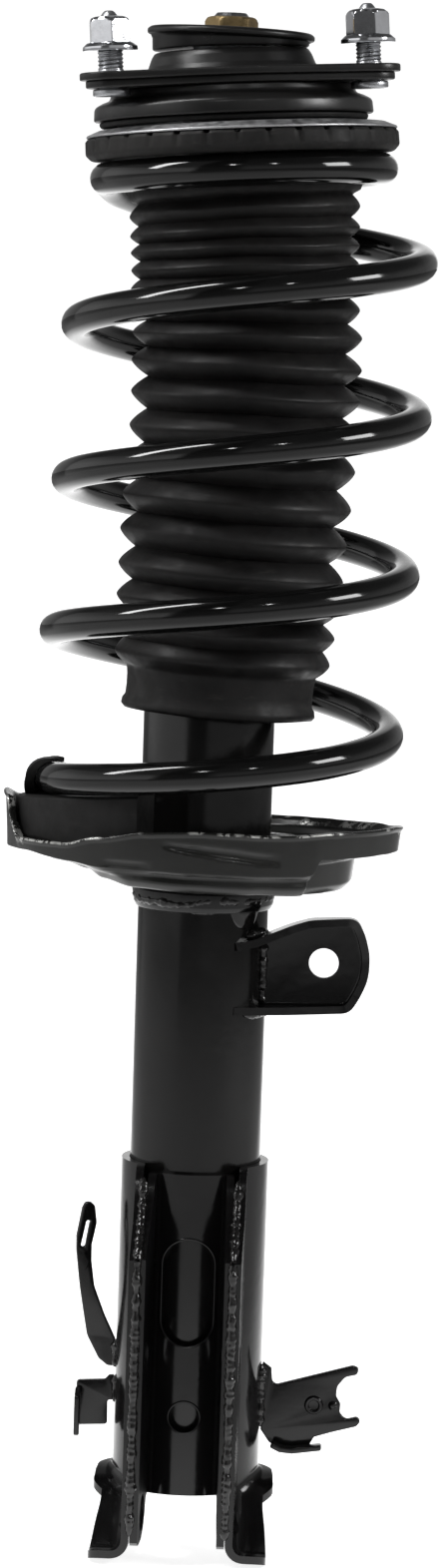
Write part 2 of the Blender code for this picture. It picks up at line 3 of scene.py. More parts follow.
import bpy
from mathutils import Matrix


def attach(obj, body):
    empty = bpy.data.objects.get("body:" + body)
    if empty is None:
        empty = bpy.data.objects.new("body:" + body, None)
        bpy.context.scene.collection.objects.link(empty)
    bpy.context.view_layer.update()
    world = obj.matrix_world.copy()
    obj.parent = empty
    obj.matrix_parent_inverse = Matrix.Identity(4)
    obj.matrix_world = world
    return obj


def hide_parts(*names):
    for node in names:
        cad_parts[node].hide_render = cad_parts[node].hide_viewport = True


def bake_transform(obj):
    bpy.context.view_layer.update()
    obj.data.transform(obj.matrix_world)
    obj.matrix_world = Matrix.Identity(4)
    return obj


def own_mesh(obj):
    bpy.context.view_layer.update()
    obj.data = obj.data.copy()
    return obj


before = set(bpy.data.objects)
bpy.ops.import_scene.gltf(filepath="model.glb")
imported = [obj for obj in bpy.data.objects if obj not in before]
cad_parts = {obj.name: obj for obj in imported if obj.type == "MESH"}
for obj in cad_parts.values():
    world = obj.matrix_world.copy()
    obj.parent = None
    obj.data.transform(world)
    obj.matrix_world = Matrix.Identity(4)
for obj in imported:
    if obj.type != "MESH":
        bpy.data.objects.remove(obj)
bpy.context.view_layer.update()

import math
from math import atan2, cos, hypot, pi, radians, sin, sqrt

import bmesh
import bpy
from mathutils import Matrix, Vector, noise

MM = 0.001

# ---- the frame's dimensions, in millimetres ----
WRAP_R = 25.8  # inside of the sheets that wrap the tube
SHEET = 3.0
PIVOT = (0.6, 0.0, 556.0)  # a point on the steering axis, which leans by TILT
TILT = radians(3.9)
STUD_ANGLES = (-141.5, -21.5, 98.5)
STUD_CIRCLE_R = 56.9
ECC = 2.9  # the bearing plate and the insulator sit off the steering axis towards +X
STEER = Matrix.Translation(Vector(PIVOT) * MM) @ Matrix.Rotation(-TILT, 4, "Y")


# ---- small curve and section helpers ----
def hermite(stations, x):
    """Smooth curve through (x, value) stations, level outside them."""
    if x <= stations[0][0]:
        return stations[0][1]
    for i in range(len(stations) - 1):
        (x0, y0), (x1, y1) = stations[i], stations[i + 1]
        if x <= x1:
            xa, ya = stations[max(i - 1, 0)]
            xb, yb = stations[min(i + 2, len(stations) - 1)]
            m0 = (y1 - ya) / (x1 - xa) * (x1 - x0)
            m1 = (yb - y0) / (xb - x0) * (x1 - x0)
            t = (x - x0) / (x1 - x0)
            return ((2 * t**3 - 3 * t**2 + 1) * y0 + (t**3 - 2 * t**2 + t) * m0
                    + (3 * t**2 - 2 * t**3) * y1 + (t**3 - t**2) * m1)
    return stations[-1][1]


def linear(stations, x):
    """Straight runs through (x, value) stations."""
    if x <= stations[0][0]:
        return stations[0][1]
    for (x0, y0), (x1, y1) in zip(stations, stations[1:]):
        if x <= x1:
            return y0 + (y1 - y0) * (x - x0) / (x1 - x0)
    return stations[-1][1]


def around(stations, degrees):
    """Eased runs between stations given round a full turn."""
    a = degrees % 360
    turn = list(stations) + [(stations[0][0] + 360, stations[0][1])]
    for (a0, v0), (a1, v1) in zip(turn, turn[1:]):
        if a0 <= a <= a1:
            t = (a - a0) / (a1 - a0)
            return v0 + (v1 - v0) * t * t * (3 - 2 * t)
    return stations[0][1]


def rounded(points, radius, steps=3):
    """Closed outline with each corner turned on a radius; a point may carry its own."""
    out = []
    n = len(points)
    for i, p in enumerate(points):
        r = p[2] if len(p) > 2 else radius
        a, b, c = Vector(points[i - 1][:2]), Vector(p[:2]), Vector(points[(i + 1) % n][:2])
        u, v = (a - b), (c - b)
        if r <= 0:
            out.append((b.x, b.y))
            continue
        lu, lv = u.length, v.length
        u.normalize()
        v.normalize()
        half = math.acos(max(-1, min(1, u.dot(v)))) / 2
        if half > radians(86):
            reach = min(r * 0.3, 0.3 * lu, 0.3 * lv)
            for k in range(steps + 1):
                t = 2 * k / steps - 1
                out.append(tuple(b + (v * t if t > 0 else u * -t) * reach))
            continue
        reach = min(r / math.tan(half), 0.45 * lu, 0.45 * lv)
        r = reach * math.tan(half)
        centre = b + (u + v).normalized() * (r / sin(half))
        start, stop = b + u * reach - centre, b + v * reach - centre
        a0 = atan2(start.y, start.x)
        turn = (atan2(stop.y, stop.x) - a0 + pi) % (2 * pi) - pi
        for k in range(steps + 1):
            t = a0 + turn * k / steps
            out.append((centre.x + r * cos(t), centre.y + r * sin(t)))
    return out


def polar(r, a, z):
    """Point at radius r and angle a round Z."""
    return (r * cos(a), r * sin(a), z)


def finely(path, pitch):
    """The path with points about a pitch apart."""
    path = [Vector(p) for p in path]
    dense = []
    for a, b in zip(path, path[1:]):
        count = max(1, round((b - a).length / pitch))
        dense += [a.lerp(b, k / count) for k in range(count)]
    return dense + [path[-1]]


def arc(cx, cy, r, start, stop, steps):
    """Points from one angle to another, in degrees."""
    angles = [radians(start + (stop - start) * k / steps) for k in range(steps + 1)]
    return [(cx + r * cos(a), cy + r * sin(a)) for a in angles]


def hoop(centre, side, over, r, sides):
    """Points round a bar's centre line."""
    turns = (2 * pi * i / sides for i in range(sides))
    return [centre + (side * cos(b) + over * sin(b)) * r for b in turns]


def wobble(p, scale, seed=0.0):
    """Smooth noise from -1 to 1 at a point in millimetres."""
    return noise.noise(Vector(p) / scale + Vector((seed, seed * 1.7, -seed)))


# ---- objects ----
def finish_mesh(name, bm, mats, place=None, sharp=38.0):
    """Object from a mesh drawn in millimetres; edges above the sharp angle stay crisp."""
    bmesh.ops.scale(bm, vec=(MM, MM, MM), verts=bm.verts)
    bmesh.ops.recalc_face_normals(bm, faces=bm.faces)
    mesh = bpy.data.meshes.new(name)
    bm.to_mesh(mesh)
    bm.free()
    mesh.shade_smooth()
    if sharp:
        mesh.set_sharp_from_angle(angle=radians(sharp))
    obj = bpy.data.objects.new(name, mesh)
    bpy.context.collection.objects.link(obj)
    for mat in mats if isinstance(mats, (list, tuple)) else [mats]:
        mesh.materials.append(mat)
    if place is not None:
        mesh.transform(place)
    return obj


def loft(name, rows, mats, closed_rows=True, closed_along=False, caps=True, place=None, sharp=38.0):
    """Skin over rows of points; every row has the same count."""
    bm = bmesh.new()
    verts = [[bm.verts.new(p) for p in row] for row in rows]
    n = len(rows[0])
    pairs = list(zip(verts, verts[1:])) + ([(verts[-1], verts[0])] if closed_along else [])
    for one, two in pairs:
        for i in range(n if closed_rows else n - 1):
            j = (i + 1) % n
            bm.faces.new((one[i], one[j], two[j], two[i]))
    if caps and not closed_along:
        bm.faces.new(verts[0])
        bm.faces.new(verts[-1])
    return finish_mesh(name, bm, mats, place, sharp)


def turned(name, section, mats, steps=128, place=None, shift=None, corner=0.5, sharp=38.0):
    """Section of (radius, height[, corner radius]) carried round Z."""
    points = rounded(section, corner)
    rows = []
    for k in range(steps):
        a = 2 * pi * k / steps
        row = []
        for r, z in points:
            dx = shift(z) if shift else 0.0
            row.append((dx + r * cos(a), r * sin(a), z))
        rows.append(row)
    return loft(name, rows, mats, closed_along=True, caps=False, place=place, sharp=sharp)


def turned_solid(name, profile, mats, steps=96, place=None, corner=0.4, sharp=38.0):
    """Open profile from the axis out and back to it, with rounded corners."""
    inner = rounded([(-profile[1][0], profile[0][1], 0)] + list(profile[1:-1])
                    + [(-profile[-2][0], profile[-1][1], 0)], corner)[1:-1]
    bm = bmesh.new()
    first, last = bm.verts.new((0, 0, profile[0][1])), bm.verts.new((0, 0, profile[-1][1]))
    rows = []
    for k in range(steps):
        a = 2 * pi * k / steps
        rows.append([bm.verts.new(polar(r, a, z)) for r, z in inner])
    for k in range(steps):
        one, two = rows[k], rows[(k + 1) % steps]
        bm.faces.new((first, two[0], one[0]))
        bm.faces.new((last, one[-1], two[-1]))
        for i in range(len(one) - 1):
            bm.faces.new((one[i], two[i], two[i + 1], one[i + 1]))
    return finish_mesh(name, bm, mats, place, sharp)


def plate(name, outline, low, high, mats, holes=(), axis="Z", edge=0.5, place=None, bend=None):
    """Flat sheet with rounded edges: outline and holes filled as a 2D curve, then extruded."""
    curve = bpy.data.curves.new(name, "CURVE")
    curve.dimensions = "2D"
    curve.fill_mode = "BOTH"
    for loop in [outline, *holes]:
        spline = curve.splines.new("POLY")
        spline.points.add(len(loop) - 1)
        for point, (x, y) in zip(spline.points, loop):
            point.co = (x, y, 0, 1)
        spline.use_cyclic_u = True
    curve.extrude = (high - low) / 2 - edge
    curve.bevel_depth = edge
    curve.bevel_resolution = 2
    curve.offset = -edge
    temp = bpy.data.objects.new(name + "_curve", curve)
    bpy.context.collection.objects.link(temp)
    bpy.context.view_layer.update()
    bm = bmesh.new()
    bm.from_mesh(temp.to_mesh())
    temp.to_mesh_clear()
    bpy.data.objects.remove(temp)
    bmesh.ops.remove_doubles(bm, verts=bm.verts, dist=1e-4)
    turn = {"Z": lambda v: (v.x, v.y, v.z + (low + high) / 2),
            "Y": lambda v: (v.x, v.z + (low + high) / 2, v.y),
            "X": lambda v: (v.z + (low + high) / 2, v.x, v.y)}[axis]
    if bend:
        long_edges = [e for e in bm.edges if e.calc_length() > 4.0]
        for _ in range(3):
            bmesh.ops.subdivide_edges(bm, edges=long_edges, cuts=1)
            long_edges = [e for e in bm.edges if e.calc_length() > 4.0]
        bmesh.ops.triangulate(bm, faces=[f for f in bm.faces if len(f.verts) > 4])
    for v in bm.verts:
        v.co = turn(v.co)
        if bend:
            v.co = bend(v.co)
    return finish_mesh(name, bm, mats, place, 50.0)


def cut(obj, cutter):
    """Boolean cutter out of obj and drop it."""
    mod = obj.modifiers.new("cut", "BOOLEAN")
    mod.solver = "EXACT"
    mod.operation = "DIFFERENCE"
    mod.object = cutter
    bpy.context.view_layer.update()
    mesh = bpy.data.meshes.new_from_object(obj.evaluated_get(bpy.context.evaluated_depsgraph_get()))
    obj.modifiers.clear()
    obj.data = mesh
    bpy.data.objects.remove(cutter)
    mesh.shade_smooth()
    mesh.set_sharp_from_angle(angle=radians(38))
    return obj


def soften(obj, width, segments=2, angle=40):
    """Small bevel on the sharp edges."""
    mod = obj.modifiers.new("edge", "BEVEL")
    mod.width = width * MM
    mod.segments = segments
    mod.limit_method = "ANGLE"
    mod.angle_limit = radians(angle)
    mod.harden_normals = False
    return obj


def belongs(obj, body, slot, *nodes):
    """Carry obj on a body and hide the CAD nodes it stands for; slot, the name of its finish, is not used."""
    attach(obj, body)
    if nodes:
        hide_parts(*nodes)
    return obj


def painted(obj, *nodes):
    """A black painted piece of the strut's body."""
    return belongs(obj, "strut_body", "gloss_black", *nodes)


def stretches(obj, node):
    """Hide the CAD node that obj stands for and bake obj's transform into its mesh."""
    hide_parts(node)
    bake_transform(obj)


def ramp_up(x, start, stop):
    """0 up to start, 1 from stop on, straight between."""
    return min(max((x - start) / (stop - start), 0.0), 1.0)


# ---- materials ----
class Graph:
    """Short calls for building a node tree; a value is a number, a colour or another node's output."""

    def __init__(self, tree):
        self.tree = tree

    def new(self, kind, **props):
        node = self.tree.nodes.new(kind)
        for key, value in props.items():
            setattr(node, key, value)
        return node

    def link(self, a, b):
        self.tree.links.new(a, b)

    def feed(self, socket, value):
        if isinstance(value, bpy.types.NodeSocket):
            self.link(value, socket)
        else:
            socket.default_value = (*value, 1) if isinstance(value, tuple) else value

    def calc(self, operation, *values):
        node = self.new("ShaderNodeMath", operation=operation)
        for socket, value in zip(node.inputs, values):
            self.feed(socket, value)
        return node.outputs[0]

    def times(self, a, b):
        return self.calc("MULTIPLY", a, b)

    def mix(self, fac, a, b, blend="MIX"):
        node = self.new("ShaderNodeMix", data_type="RGBA", blend_type=blend)
        for socket, value in zip((node.inputs["Factor"], node.inputs[6], node.inputs[7]), (fac, a, b)):
            self.feed(socket, value)
        return node.outputs[2]

    def apart(self, vector):
        node = self.new("ShaderNodeSeparateXYZ")
        self.link(vector, node.inputs[0])
        return node.outputs["X"], node.outputs["Y"], node.outputs["Z"]

    def ramp(self, source, stops):
        """Grey ramp through (place, value) stops."""
        node = self.new("ShaderNodeValToRGB")
        while len(node.color_ramp.elements) < len(stops):
            node.color_ramp.elements.new(0.5)
        for element, (place, value) in zip(node.color_ramp.elements, stops):
            element.position = place
            element.color = (value, value, value, 1)
        self.link(source, node.inputs[0])
        return node.outputs[0]


class Nodes(Graph):
    """A material around the Principled shader."""

    def __init__(self, name, colour, metallic, roughness, **sockets):
        self.mat = bpy.data.materials.new(name)
        self.mat.use_nodes = True
        self.mat.diffuse_color = (*colour, 1)
        super().__init__(self.mat.node_tree)
        self.shader = self.tree.nodes["Principled BSDF"]
        self.set(**{"Base Color": (*colour, 1), "Metallic": metallic, "Roughness": roughness})
        self.set(**{key.replace("_", " "): value for key, value in sockets.items()})
        self.where = self.new("ShaderNodeTexCoord").outputs["Object"]

    def set(self, **sockets):
        for key, value in sockets.items():
            self.shader.inputs[key].default_value = value

    def stretched(self, scale):
        node = self.new("ShaderNodeMapping")
        node.inputs["Scale"].default_value = scale
        self.link(self.where, node.inputs["Vector"])
        return node.outputs["Vector"]

    def noise(self, scale, detail=4.0, rough=0.55, stretch=None):
        node = self.new("ShaderNodeTexNoise")
        node.inputs["Scale"].default_value = scale
        node.inputs["Detail"].default_value = detail
        node.inputs["Roughness"].default_value = rough
        self.link(self.stretched(stretch) if stretch else self.where, node.inputs["Vector"])
        return node.outputs["Fac"]

    def spread(self, fac, lo, hi, out_lo, out_hi):
        node = self.new("ShaderNodeMapRange", clamp=True)
        for key, value in (("From Min", lo), ("From Max", hi), ("To Min", out_lo), ("To Max", out_hi)):
            node.inputs[key].default_value = value
        self.link(fac, node.inputs["Value"])
        return node.outputs["Result"]

    def colour(self, out):
        self.link(out, self.shader.inputs["Base Color"])

    def rough(self, out):
        self.link(out, self.shader.inputs["Roughness"])

    def metal(self, out):
        self.link(out, self.shader.inputs["Metallic"])

    def bump(self, height, strength, distance):
        node = self.new("ShaderNodeBump")
        node.inputs["Strength"].default_value = strength
        node.inputs["Distance"].default_value = distance
        last = self.shader.inputs["Normal"]
        if last.is_linked:
            self.link(last.links[0].from_socket, node.inputs["Normal"])
        self.link(height, node.inputs["Height"])
        self.link(node.outputs["Normal"], last)
        return self


def black_paint(name, base=(0.004, 0.004, 0.0042), rough=0.16, peel=0.25, dust=0.3, chips=0.0, coat=0.0,
                gloss=0.42):
    """Dipped black paint: fine orange peel, a film of dust, and chips where it is thin."""
    m = Nodes(name, base, 0.0, rough, Specular_IOR_Level=gloss, Coat_Weight=coat, Coat_Roughness=0.05)
    film = m.spread(m.noise(38, 6, 0.65), 0.48, 0.8, 0.0, 1.0)
    specks = m.spread(m.noise(2600, 2, 0.6), 0.68, 0.78, 0.0, 1.0)
    dirt = m.times(m.calc("MAXIMUM", m.times(film, 0.5), specks), dust)
    colour = m.mix(dirt, base, (0.03, 0.028, 0.025))
    m.rough(m.spread(m.noise(60, 5, 0.6), 0.3, 0.75, rough * 0.8, rough + 0.12 * (0.4 + dust)))
    if chips:
        flake = m.times(m.spread(m.noise(420, 4, 0.65), 0.47, 0.5, 0.0, 1.0),
                        m.spread(m.noise(48, 2, 0.5), 0.5 - chips, 0.55 - chips, 0.0, 1.0))
        colour = m.mix(flake, colour, (0.6, 0.6, 0.58))
        m.metal(m.times(flake, 0.5))
        m.bump(flake, -0.5, 0.0002)
    m.colour(colour)
    m.bump(m.noise(260, 2, 0.4), peel, 0.0001)
    m.bump(m.noise(900, 3), peel * 0.4, 0.00003)
    return m.mat


def rubber_mat(name, base=(0.021, 0.020, 0.0205), dust=0.6, grain=0.5, streak=(1, 1, 5), rough=0.62):
    """Moulded rubber with a bloom of dust, rubbed streaks and pits."""
    m = Nodes(name, base, 0.0, rough, Specular_IOR_Level=0.3)
    bloom = m.spread(m.noise(26, 6, 0.7), 0.4, 0.8, 0.0, 1.0)
    rub = m.spread(m.noise(70, 7, 0.75, streak), 0.56, 0.74, 0.0, 1.0)
    specks = m.spread(m.noise(1300, 3, 0.7), 0.62, 0.74, 0.0, 0.6)
    dirt = m.times(m.calc("MAXIMUM", m.times(bloom, 0.45), m.calc("MAXIMUM", rub, specks)), dust)
    m.colour(m.mix(dirt, base, (0.085, 0.08, 0.072)))
    m.rough(m.spread(m.noise(140, 5, 0.6), 0.3, 0.7, rough - 0.12, rough + 0.14))
    m.bump(m.noise(700, 5, 0.65), grain, 0.00012)
    m.bump(m.noise(120, 3, 0.5), grain * 0.6, 0.0002)
    return m.mat


def metal_mat(name, base, rough, stain=(0.2, 0.19, 0.18), patch=0.5, grain=(1, 1, 1), lines=0.2):
    """Bare or plated metal with staining and fine tool marks."""
    m = Nodes(name, base, 1.0, rough)
    marks = m.noise(900, 4, 0.6, grain)
    cloud = m.spread(m.noise(130, 6, 0.65), 0.5, 0.78, 0.0, patch)
    m.colour(m.mix(cloud, base, stain))
    m.rough(m.spread(m.noise(300, 5, 0.6), 0.3, 0.75, rough * 0.7, rough * 1.5 + 0.04))
    m.bump(marks, lines, 0.00006)
    return m.mat


PAINT = black_paint("paint_gloss_black")
PAINT_TUBE = black_paint("paint_tube_black", base=(0.0045, 0.0043, 0.0042), rough=0.15, peel=0.3, dust=0.2)
PAINT_SEAT = black_paint("paint_seat_black", base=(0.0105, 0.0108, 0.0098), rough=0.2, peel=0.3, dust=0.3, gloss=0.5)
PAINT_EDGE = black_paint("paint_chipped_edge", base=(0.0105, 0.0108, 0.0098), rough=0.22, dust=0.4, chips=0.0001)
PAINT_SPRING = black_paint("paint_spring_black", base=(0.0035, 0.0035, 0.0035), rough=0.08, peel=0.08, dust=0.12,
                           coat=0.15)
PAINT_BRACKET = black_paint("paint_bracket_black", base=(0.0045, 0.0042, 0.0044), rough=0.13, peel=0.5, dust=0.25)
WELD = black_paint("paint_over_weld", base=(0.008, 0.0075, 0.0075), rough=0.1, peel=1.0, dust=0.3, gloss=0.6)
# a dull copy of the black paint with almost no reflection: painted shade for the inward faces of the bracket's legs
PAINT_SHADED = black_paint("paint_shaded_black", rough=0.6, peel=0.5, dust=0.3, gloss=0.04)
SATIN = black_paint("satin_black_coat", base=(0.0085, 0.0082, 0.0082), rough=0.34, peel=0.5, dust=0.4)
RUBBER = rubber_mat("rubber_insulator", base=(0.0085, 0.008, 0.008), dust=0.4, grain=0.8)
RUBBER_PLAIN = rubber_mat("rubber_plain", base=(0.0045, 0.0043, 0.0043), dust=0.1, grain=0.4)
BOOT = rubber_mat("rubber_boot", base=(0.0058, 0.0053, 0.0055), dust=0.3, grain=0.35, rough=0.5)
FOAM = rubber_mat("foam_stop", base=(0.1, 0.095, 0.08), dust=0.2, grain=1.0, rough=0.8)
ZINC = metal_mat("zinc_plate", (0.52, 0.53, 0.55), 0.32, stain=(0.25, 0.25, 0.25))
BRIGHT = metal_mat("bright_zinc", (0.74, 0.75, 0.78), 0.09, stain=(0.45, 0.45, 0.45), patch=0.35, lines=0.12)
YELLOW = metal_mat("yellow_zinc", (0.3, 0.22, 0.11), 0.42, stain=(0.06, 0.045, 0.025), patch=1.0, lines=0.8)
GREY_STEEL = metal_mat("grey_steel", (0.52, 0.52, 0.53), 0.42, stain=(0.2, 0.2, 0.2), patch=0.6,
                       grain=(1, 1, 8), lines=0.4)
CHROME = metal_mat("rod_chrome", (0.7, 0.7, 0.71), 0.08, patch=0.1, grain=(1, 1, 12), lines=0.05)
BEARING = metal_mat("bearing_steel", (0.45, 0.46, 0.48), 0.25, grain=(1, 1, 10))


def cage_mat():
    m = Nodes("cage_plastic", (0.5, 0.45, 0.36), 0.0, 0.5)
    m.colour(m.mix(m.noise(90, 4), (0.5, 0.45, 0.36), (0.62, 0.57, 0.47)))
    m.bump(m.noise(500, 3), 0.2, 0.0001)
    return m.mat


CAGE = cage_mat()

# hidden and simple solids keep their CAD shape and take the finished materials
CAD_LOOKS = {
    BEARING: ("foot_valve", "inner_cylinder", "rod_guide", "piston", "upper_race", "lower_race"),
    CHROME: ("piston_rod",), ZINC: ("piston_nut", "inner_sleeve"),
    RUBBER_PLAIN: ("rod_seal", "rebound_stop"), SATIN: ("tube_cap",),
    CAGE: ("ball_cage",), PAINT: ("base_cup",),
}
for look, names in CAD_LOOKS.items():
    for node_name in names:
        for material_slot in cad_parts[node_name].material_slots:
            material_slot.material = look


# ---- coil spring ----
WIRE_R = 6.2
SPRING_START, SPRING_STOP = 166.0, 1885.0
SPRING_HEIGHTS = (
    (0, 273.0), (180, 277.9), (360, 298.3), (540, 334.9), (720, 360.6), (900, 393.9),
    (1080, 421.8), (1260, 453.7), (1440, 481.5), (1600, 506.5), (1620, 508.6))
SPRING_BOW = ((270, 1.5), (290, 2.5), (350, 6.6), (410, 9.2), (470, 10.6), (515, 6.0))


def wire_centre(degrees):
    taper = ramp_up(degrees, 1440.0, 1620.0)
    radius = 66.7 + (53.3 - 66.7) * taper * taper * (3 - 2 * taper)
    tuck = min(max((232.0 - degrees) / 52.0, 0.0), 1.0)
    radius -= 3.6 * tuck * tuck * (3 - 2 * tuck)
    a = radians(degrees)
    z = hermite(SPRING_HEIGHTS, degrees)
    x = hermite(SPRING_BOW, z) + radius * cos(a)
    flat = PIVOT[2] + (-42.5 + sin(TILT) * (x - PIVOT[0])) / cos(TILT)
    if degrees > 1600:
        z += (flat - z) * min((degrees - 1600.0) / 20.0, 1.0)
    return Vector((x, radius * sin(a), min(z, flat)))


def make_spring():
    """Coil of round wire along the spring's centre line."""
    per_turn, sides = 64, 24
    steps = round((SPRING_STOP - SPRING_START) / 360 * per_turn)
    rows, shares = [], []

    def ring(deg, r):
        centre = wire_centre(deg)
        along = (wire_centre(deg + 1) - wire_centre(deg - 1)).normalized()
        out = Vector((cos(radians(deg)), sin(radians(deg)), 0))
        side = (out - along * out.dot(along)).normalized()
        over = along.cross(side)
        rows.append(hoop(centre, side, over, r, sides))
        shares.append((deg - SPRING_START) / (SPRING_STOP - SPRING_START))

    ring(SPRING_START, WIRE_R - 0.8)
    ring(SPRING_START + 0.35, WIRE_R - 0.2)
    for k in range(steps + 1):
        ring(SPRING_START + 0.7 + (SPRING_STOP - SPRING_START - 1.4) * k / steps, WIRE_R)
    ring(SPRING_STOP - 0.35, WIRE_R - 0.2)
    ring(SPRING_STOP, WIRE_R - 0.8)
    obj = loft("spring_coil", rows, PAINT_SPRING, sharp=50.0)
    stretches(obj, "coil_spring")


make_spring()

# ---- bellows boot ----
# crest height on the axis, how much higher the +X side is, crest radius, valley radius below
PLEATS = (
    (499.5, 7.1, 44.4, 40.9), (491.8, 6.5, 44.3, 40.7), (485.0, 5.6, 44.2, 40.6), (478.0, 4.9, 44.1, 40.6),
    (470.3, 3.9, 44.1, 40.2), (461.8, 2.4, 44.0, 39.0), (451.9, 0.4, 44.4, 38.2), (440.4, -1.3, 44.5, 38.0),
    (428.2, -1.3, 44.4, 38.1), (415.3, -1.6, 44.3, 38.2), (401.6, -2.6, 44.5, 38.2), (387.5, -4.4, 44.5, 38.0),
    (374.0, -5.0, 44.2, 37.7), (360.2, -5.6, 43.8, 37.9), (348.4, -5.0, 43.3, 38.0), (337.6, -4.4, 42.9, 38.6),
    (327.0, -4.0, 41.8, 36.9))
BOOT_CENTRE = ((300, 3.0), (327, 4.3), (345, 5.4), (360, 6.6), (375, 7.2), (388, 8.1), (405, 9.2), (420, 10.0),
               (440, 10.2), (452, 10.0), (470, 8.6), (485, 8.0), (500, 7.4), (512, 7.2))


def fold(u):
    """Height of a pleat's flank from valley (0) to crest (1): nearly straight, eased at the crest."""
    ease = 0.12
    away = 1 - u
    return 1 - ((away * away + ease * ease) ** 0.5 - ease) / ((1 + ease * ease) ** 0.5 - ease) * (0.55 + 0.45 * away)


def boot_rows():
    """(height, tilt, radius) down the outside of the boot."""
    rows = [(513.5, 8.0, 42.4), (513.2, 8.0, 44.2), (512.2, 7.9, 45.0), (507.2, 7.6, 45.0), (505.6, 7.5, 44.4),
            (504.6, 7.4, 42.2), (503.9, 7.4, 41.4)]
    previous = rows[-1]
    steps = 9
    for index, (z, tilt, crest, valley) in enumerate(PLEATS):
        z0, t0, v0 = previous
        for k in range(1, steps + 1):
            u = 1 - (1 - k / steps) ** 1.3
            rows.append((z0 + (z - z0) * u, t0 + (tilt - t0) * u, v0 + (crest - v0) * fold(u)))
        if index + 1 < len(PLEATS):
            z2, t2 = PLEATS[index + 1][:2]
            low = ((z + z2) / 2, (tilt + t2) / 2)
        else:
            low = (z - 5.2, tilt)
        for k in range(1, steps + 1):
            u = (k / steps) ** 1.3
            rows.append((z + (low[0] - z) * u, tilt + (low[1] - tilt) * u,
                         valley + (crest - valley) * fold(1 - u)))
        previous = (*low, valley)
    rows += [(320.6, -4.1, 36.6), (318.0, -4.1, 36.4), (314.0, -4.2, 36.2), (310.2, -4.2, 36.5), (308.6, -4.2, 37.6),
             (306.6, -4.3, 37.9), (305.4, -4.3, 36.9), (305.2, -4.3, 35.6)]
    return rows


def make_boot():
    """Bellows boot, its outside pleats and its inside wall in one loft."""
    steps = 160
    outside = boot_rows()
    wall = 1.5
    inside = [(z + 0.2, tilt, r - wall) for z, tilt, r in reversed(outside[1:-2])]
    inside = [(z, tilt, min(r, 34.2 if z < 322 else 45.0)) for z, tilt, r in inside]
    rows, heights = [], []
    for z, tilt, r in outside + inside:
        cx = linear(BOOT_CENTRE, z)
        row = []
        for k in range(steps):
            a = 2 * pi * k / steps
            c, s = cos(a), sin(a)
            dent = 0.35 * wobble((40 * c, 40 * s, z * 0.8), 16.0, 3.1) + 0.15 * wobble((40 * c, 40 * s, z), 5.0, 9.2)
            lean = tilt * (r * c) / 88.0
            ripple = 0.5 * wobble((30 * c, 30 * s, z * 0.3), 20.0, 5.5)
            row.append((cx + (r + dent) * c, (r + dent) * s, z + lean + ripple))
        rows.append(row)
        heights.append(z)
    obj = loft("bellows_boot", rows, BOOT, closed_along=True, caps=False, sharp=62.0)
    stretches(obj, "dust_boot")


make_boot()


def make_bump_stop():
    """Foam stop with three lobes, carried on the rod."""
    low, high, lobes = 447.3, 511.7, 3
    section = [(12.0, low), (12.0, high)]
    for k in range(lobes * 10 + 1):
        t = k / (lobes * 10)
        swell = 5.8 * abs(sin(pi * lobes * t)) ** 0.6
        section.append((17.5 + swell, high - (high - low) * t))
    obj = turned("foam_stop", section, (FOAM,), steps=96, corner=0.0, sharp=50.0)
    belongs(obj, "rod", "foam", "bump_stop")
    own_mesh(obj)


make_bump_stop()

# ---- top mount, in the steering axis's frame ----
stud_places = [(STUD_CIRCLE_R * cos(radians(a)), STUD_CIRCLE_R * sin(radians(a)))
               for a in STUD_ANGLES]


def hull(points):
    """Convex outline round the points."""
    points = sorted(set(points))
    halves = []
    for run in (points, points[::-1]):
        chain = []
        for p in run:
            while len(chain) > 1 and ((chain[-1][0] - chain[-2][0]) * (p[1] - chain[-2][1])
                                      - (chain[-1][1] - chain[-2][1]) * (p[0] - chain[-2][0])) <= 0:
                chain.pop()
            chain.append(p)
        halves += chain[:-1]
    return halves


def plate_outline(inset):
    """Round plate with an ear at each stud."""
    rim = arc(0, 0, 50.0 - inset, 0, 360, 180)[:-1]
    for x, y in stud_places:
        rim += arc(x, y, 12.0 - inset, 0, 360, 96)[:-1]
    return hull(rim)


stud_holes = [arc(x, y, 5.4, 0, 360, 40)[:-1] for x, y in stud_places]
holes = stud_holes + [arc(0, 0, 24.4, 0, 360, 96)[:-1]]
top_plate = plate("top_plate", plate_outline(0.0), -6.6, -3.6, SATIN, holes, edge=0.7, place=STEER)
under_plate = plate("under_plate", plate_outline(2.2), -9.6, -6.5, SATIN, holes, edge=0.8, place=STEER)
dome = turned("bush_dome", [(24.4, -6.5), (24.4, 2.2, 1.2), (25.6, 4.5, 1.0), (29.6, 4.5, 1.4), (30.9, 2.4, 2.5),
                            (32.2, -1.0, 3.0), (33.8, -3.55, 1.2), (33.8, -6.5)], SATIN, 160, STEER, corner=0.6)
belongs(top_plate, "mount", "satin_black", "mount_plate")
belongs(under_plate, "mount", "satin_black")
belongs(dome, "mount", "satin_black")
bush = turned("rubber_bush_fine", [(16.6, -12.0), (16.6, 2.6, 1.0), (19.0, 3.4, 2.0), (22.0, 3.2, 1.5), (24.1, 1.5),
                                   (24.1, -12.0)], RUBBER_PLAIN, 96, STEER)
belongs(bush, "mount", "rubber_black", "rubber_bush")
housing = turned("bearing_housing", [(30, -12.6), (30, -9.9), (46.9, -9.9), (47.4, -13.0, 2.5), (50.6, -14.1, 2.0),
                                     (53.6, -15.7, 2.2), (54, -21.0, 0.8), (46.2, -21.0), (46.2, -12.6)],
                 SATIN, 160, STEER, corner=0.6)
belongs(housing, "mount", "satin_black", "mount_housing")
seal = turned("bearing_seal_fine", [(47.4, -23.4), (47.4, -21.3), (52.2, -21.3, 0.8), (51.4, -23.4, 0.8)],
              RUBBER_PLAIN, 128, STEER)
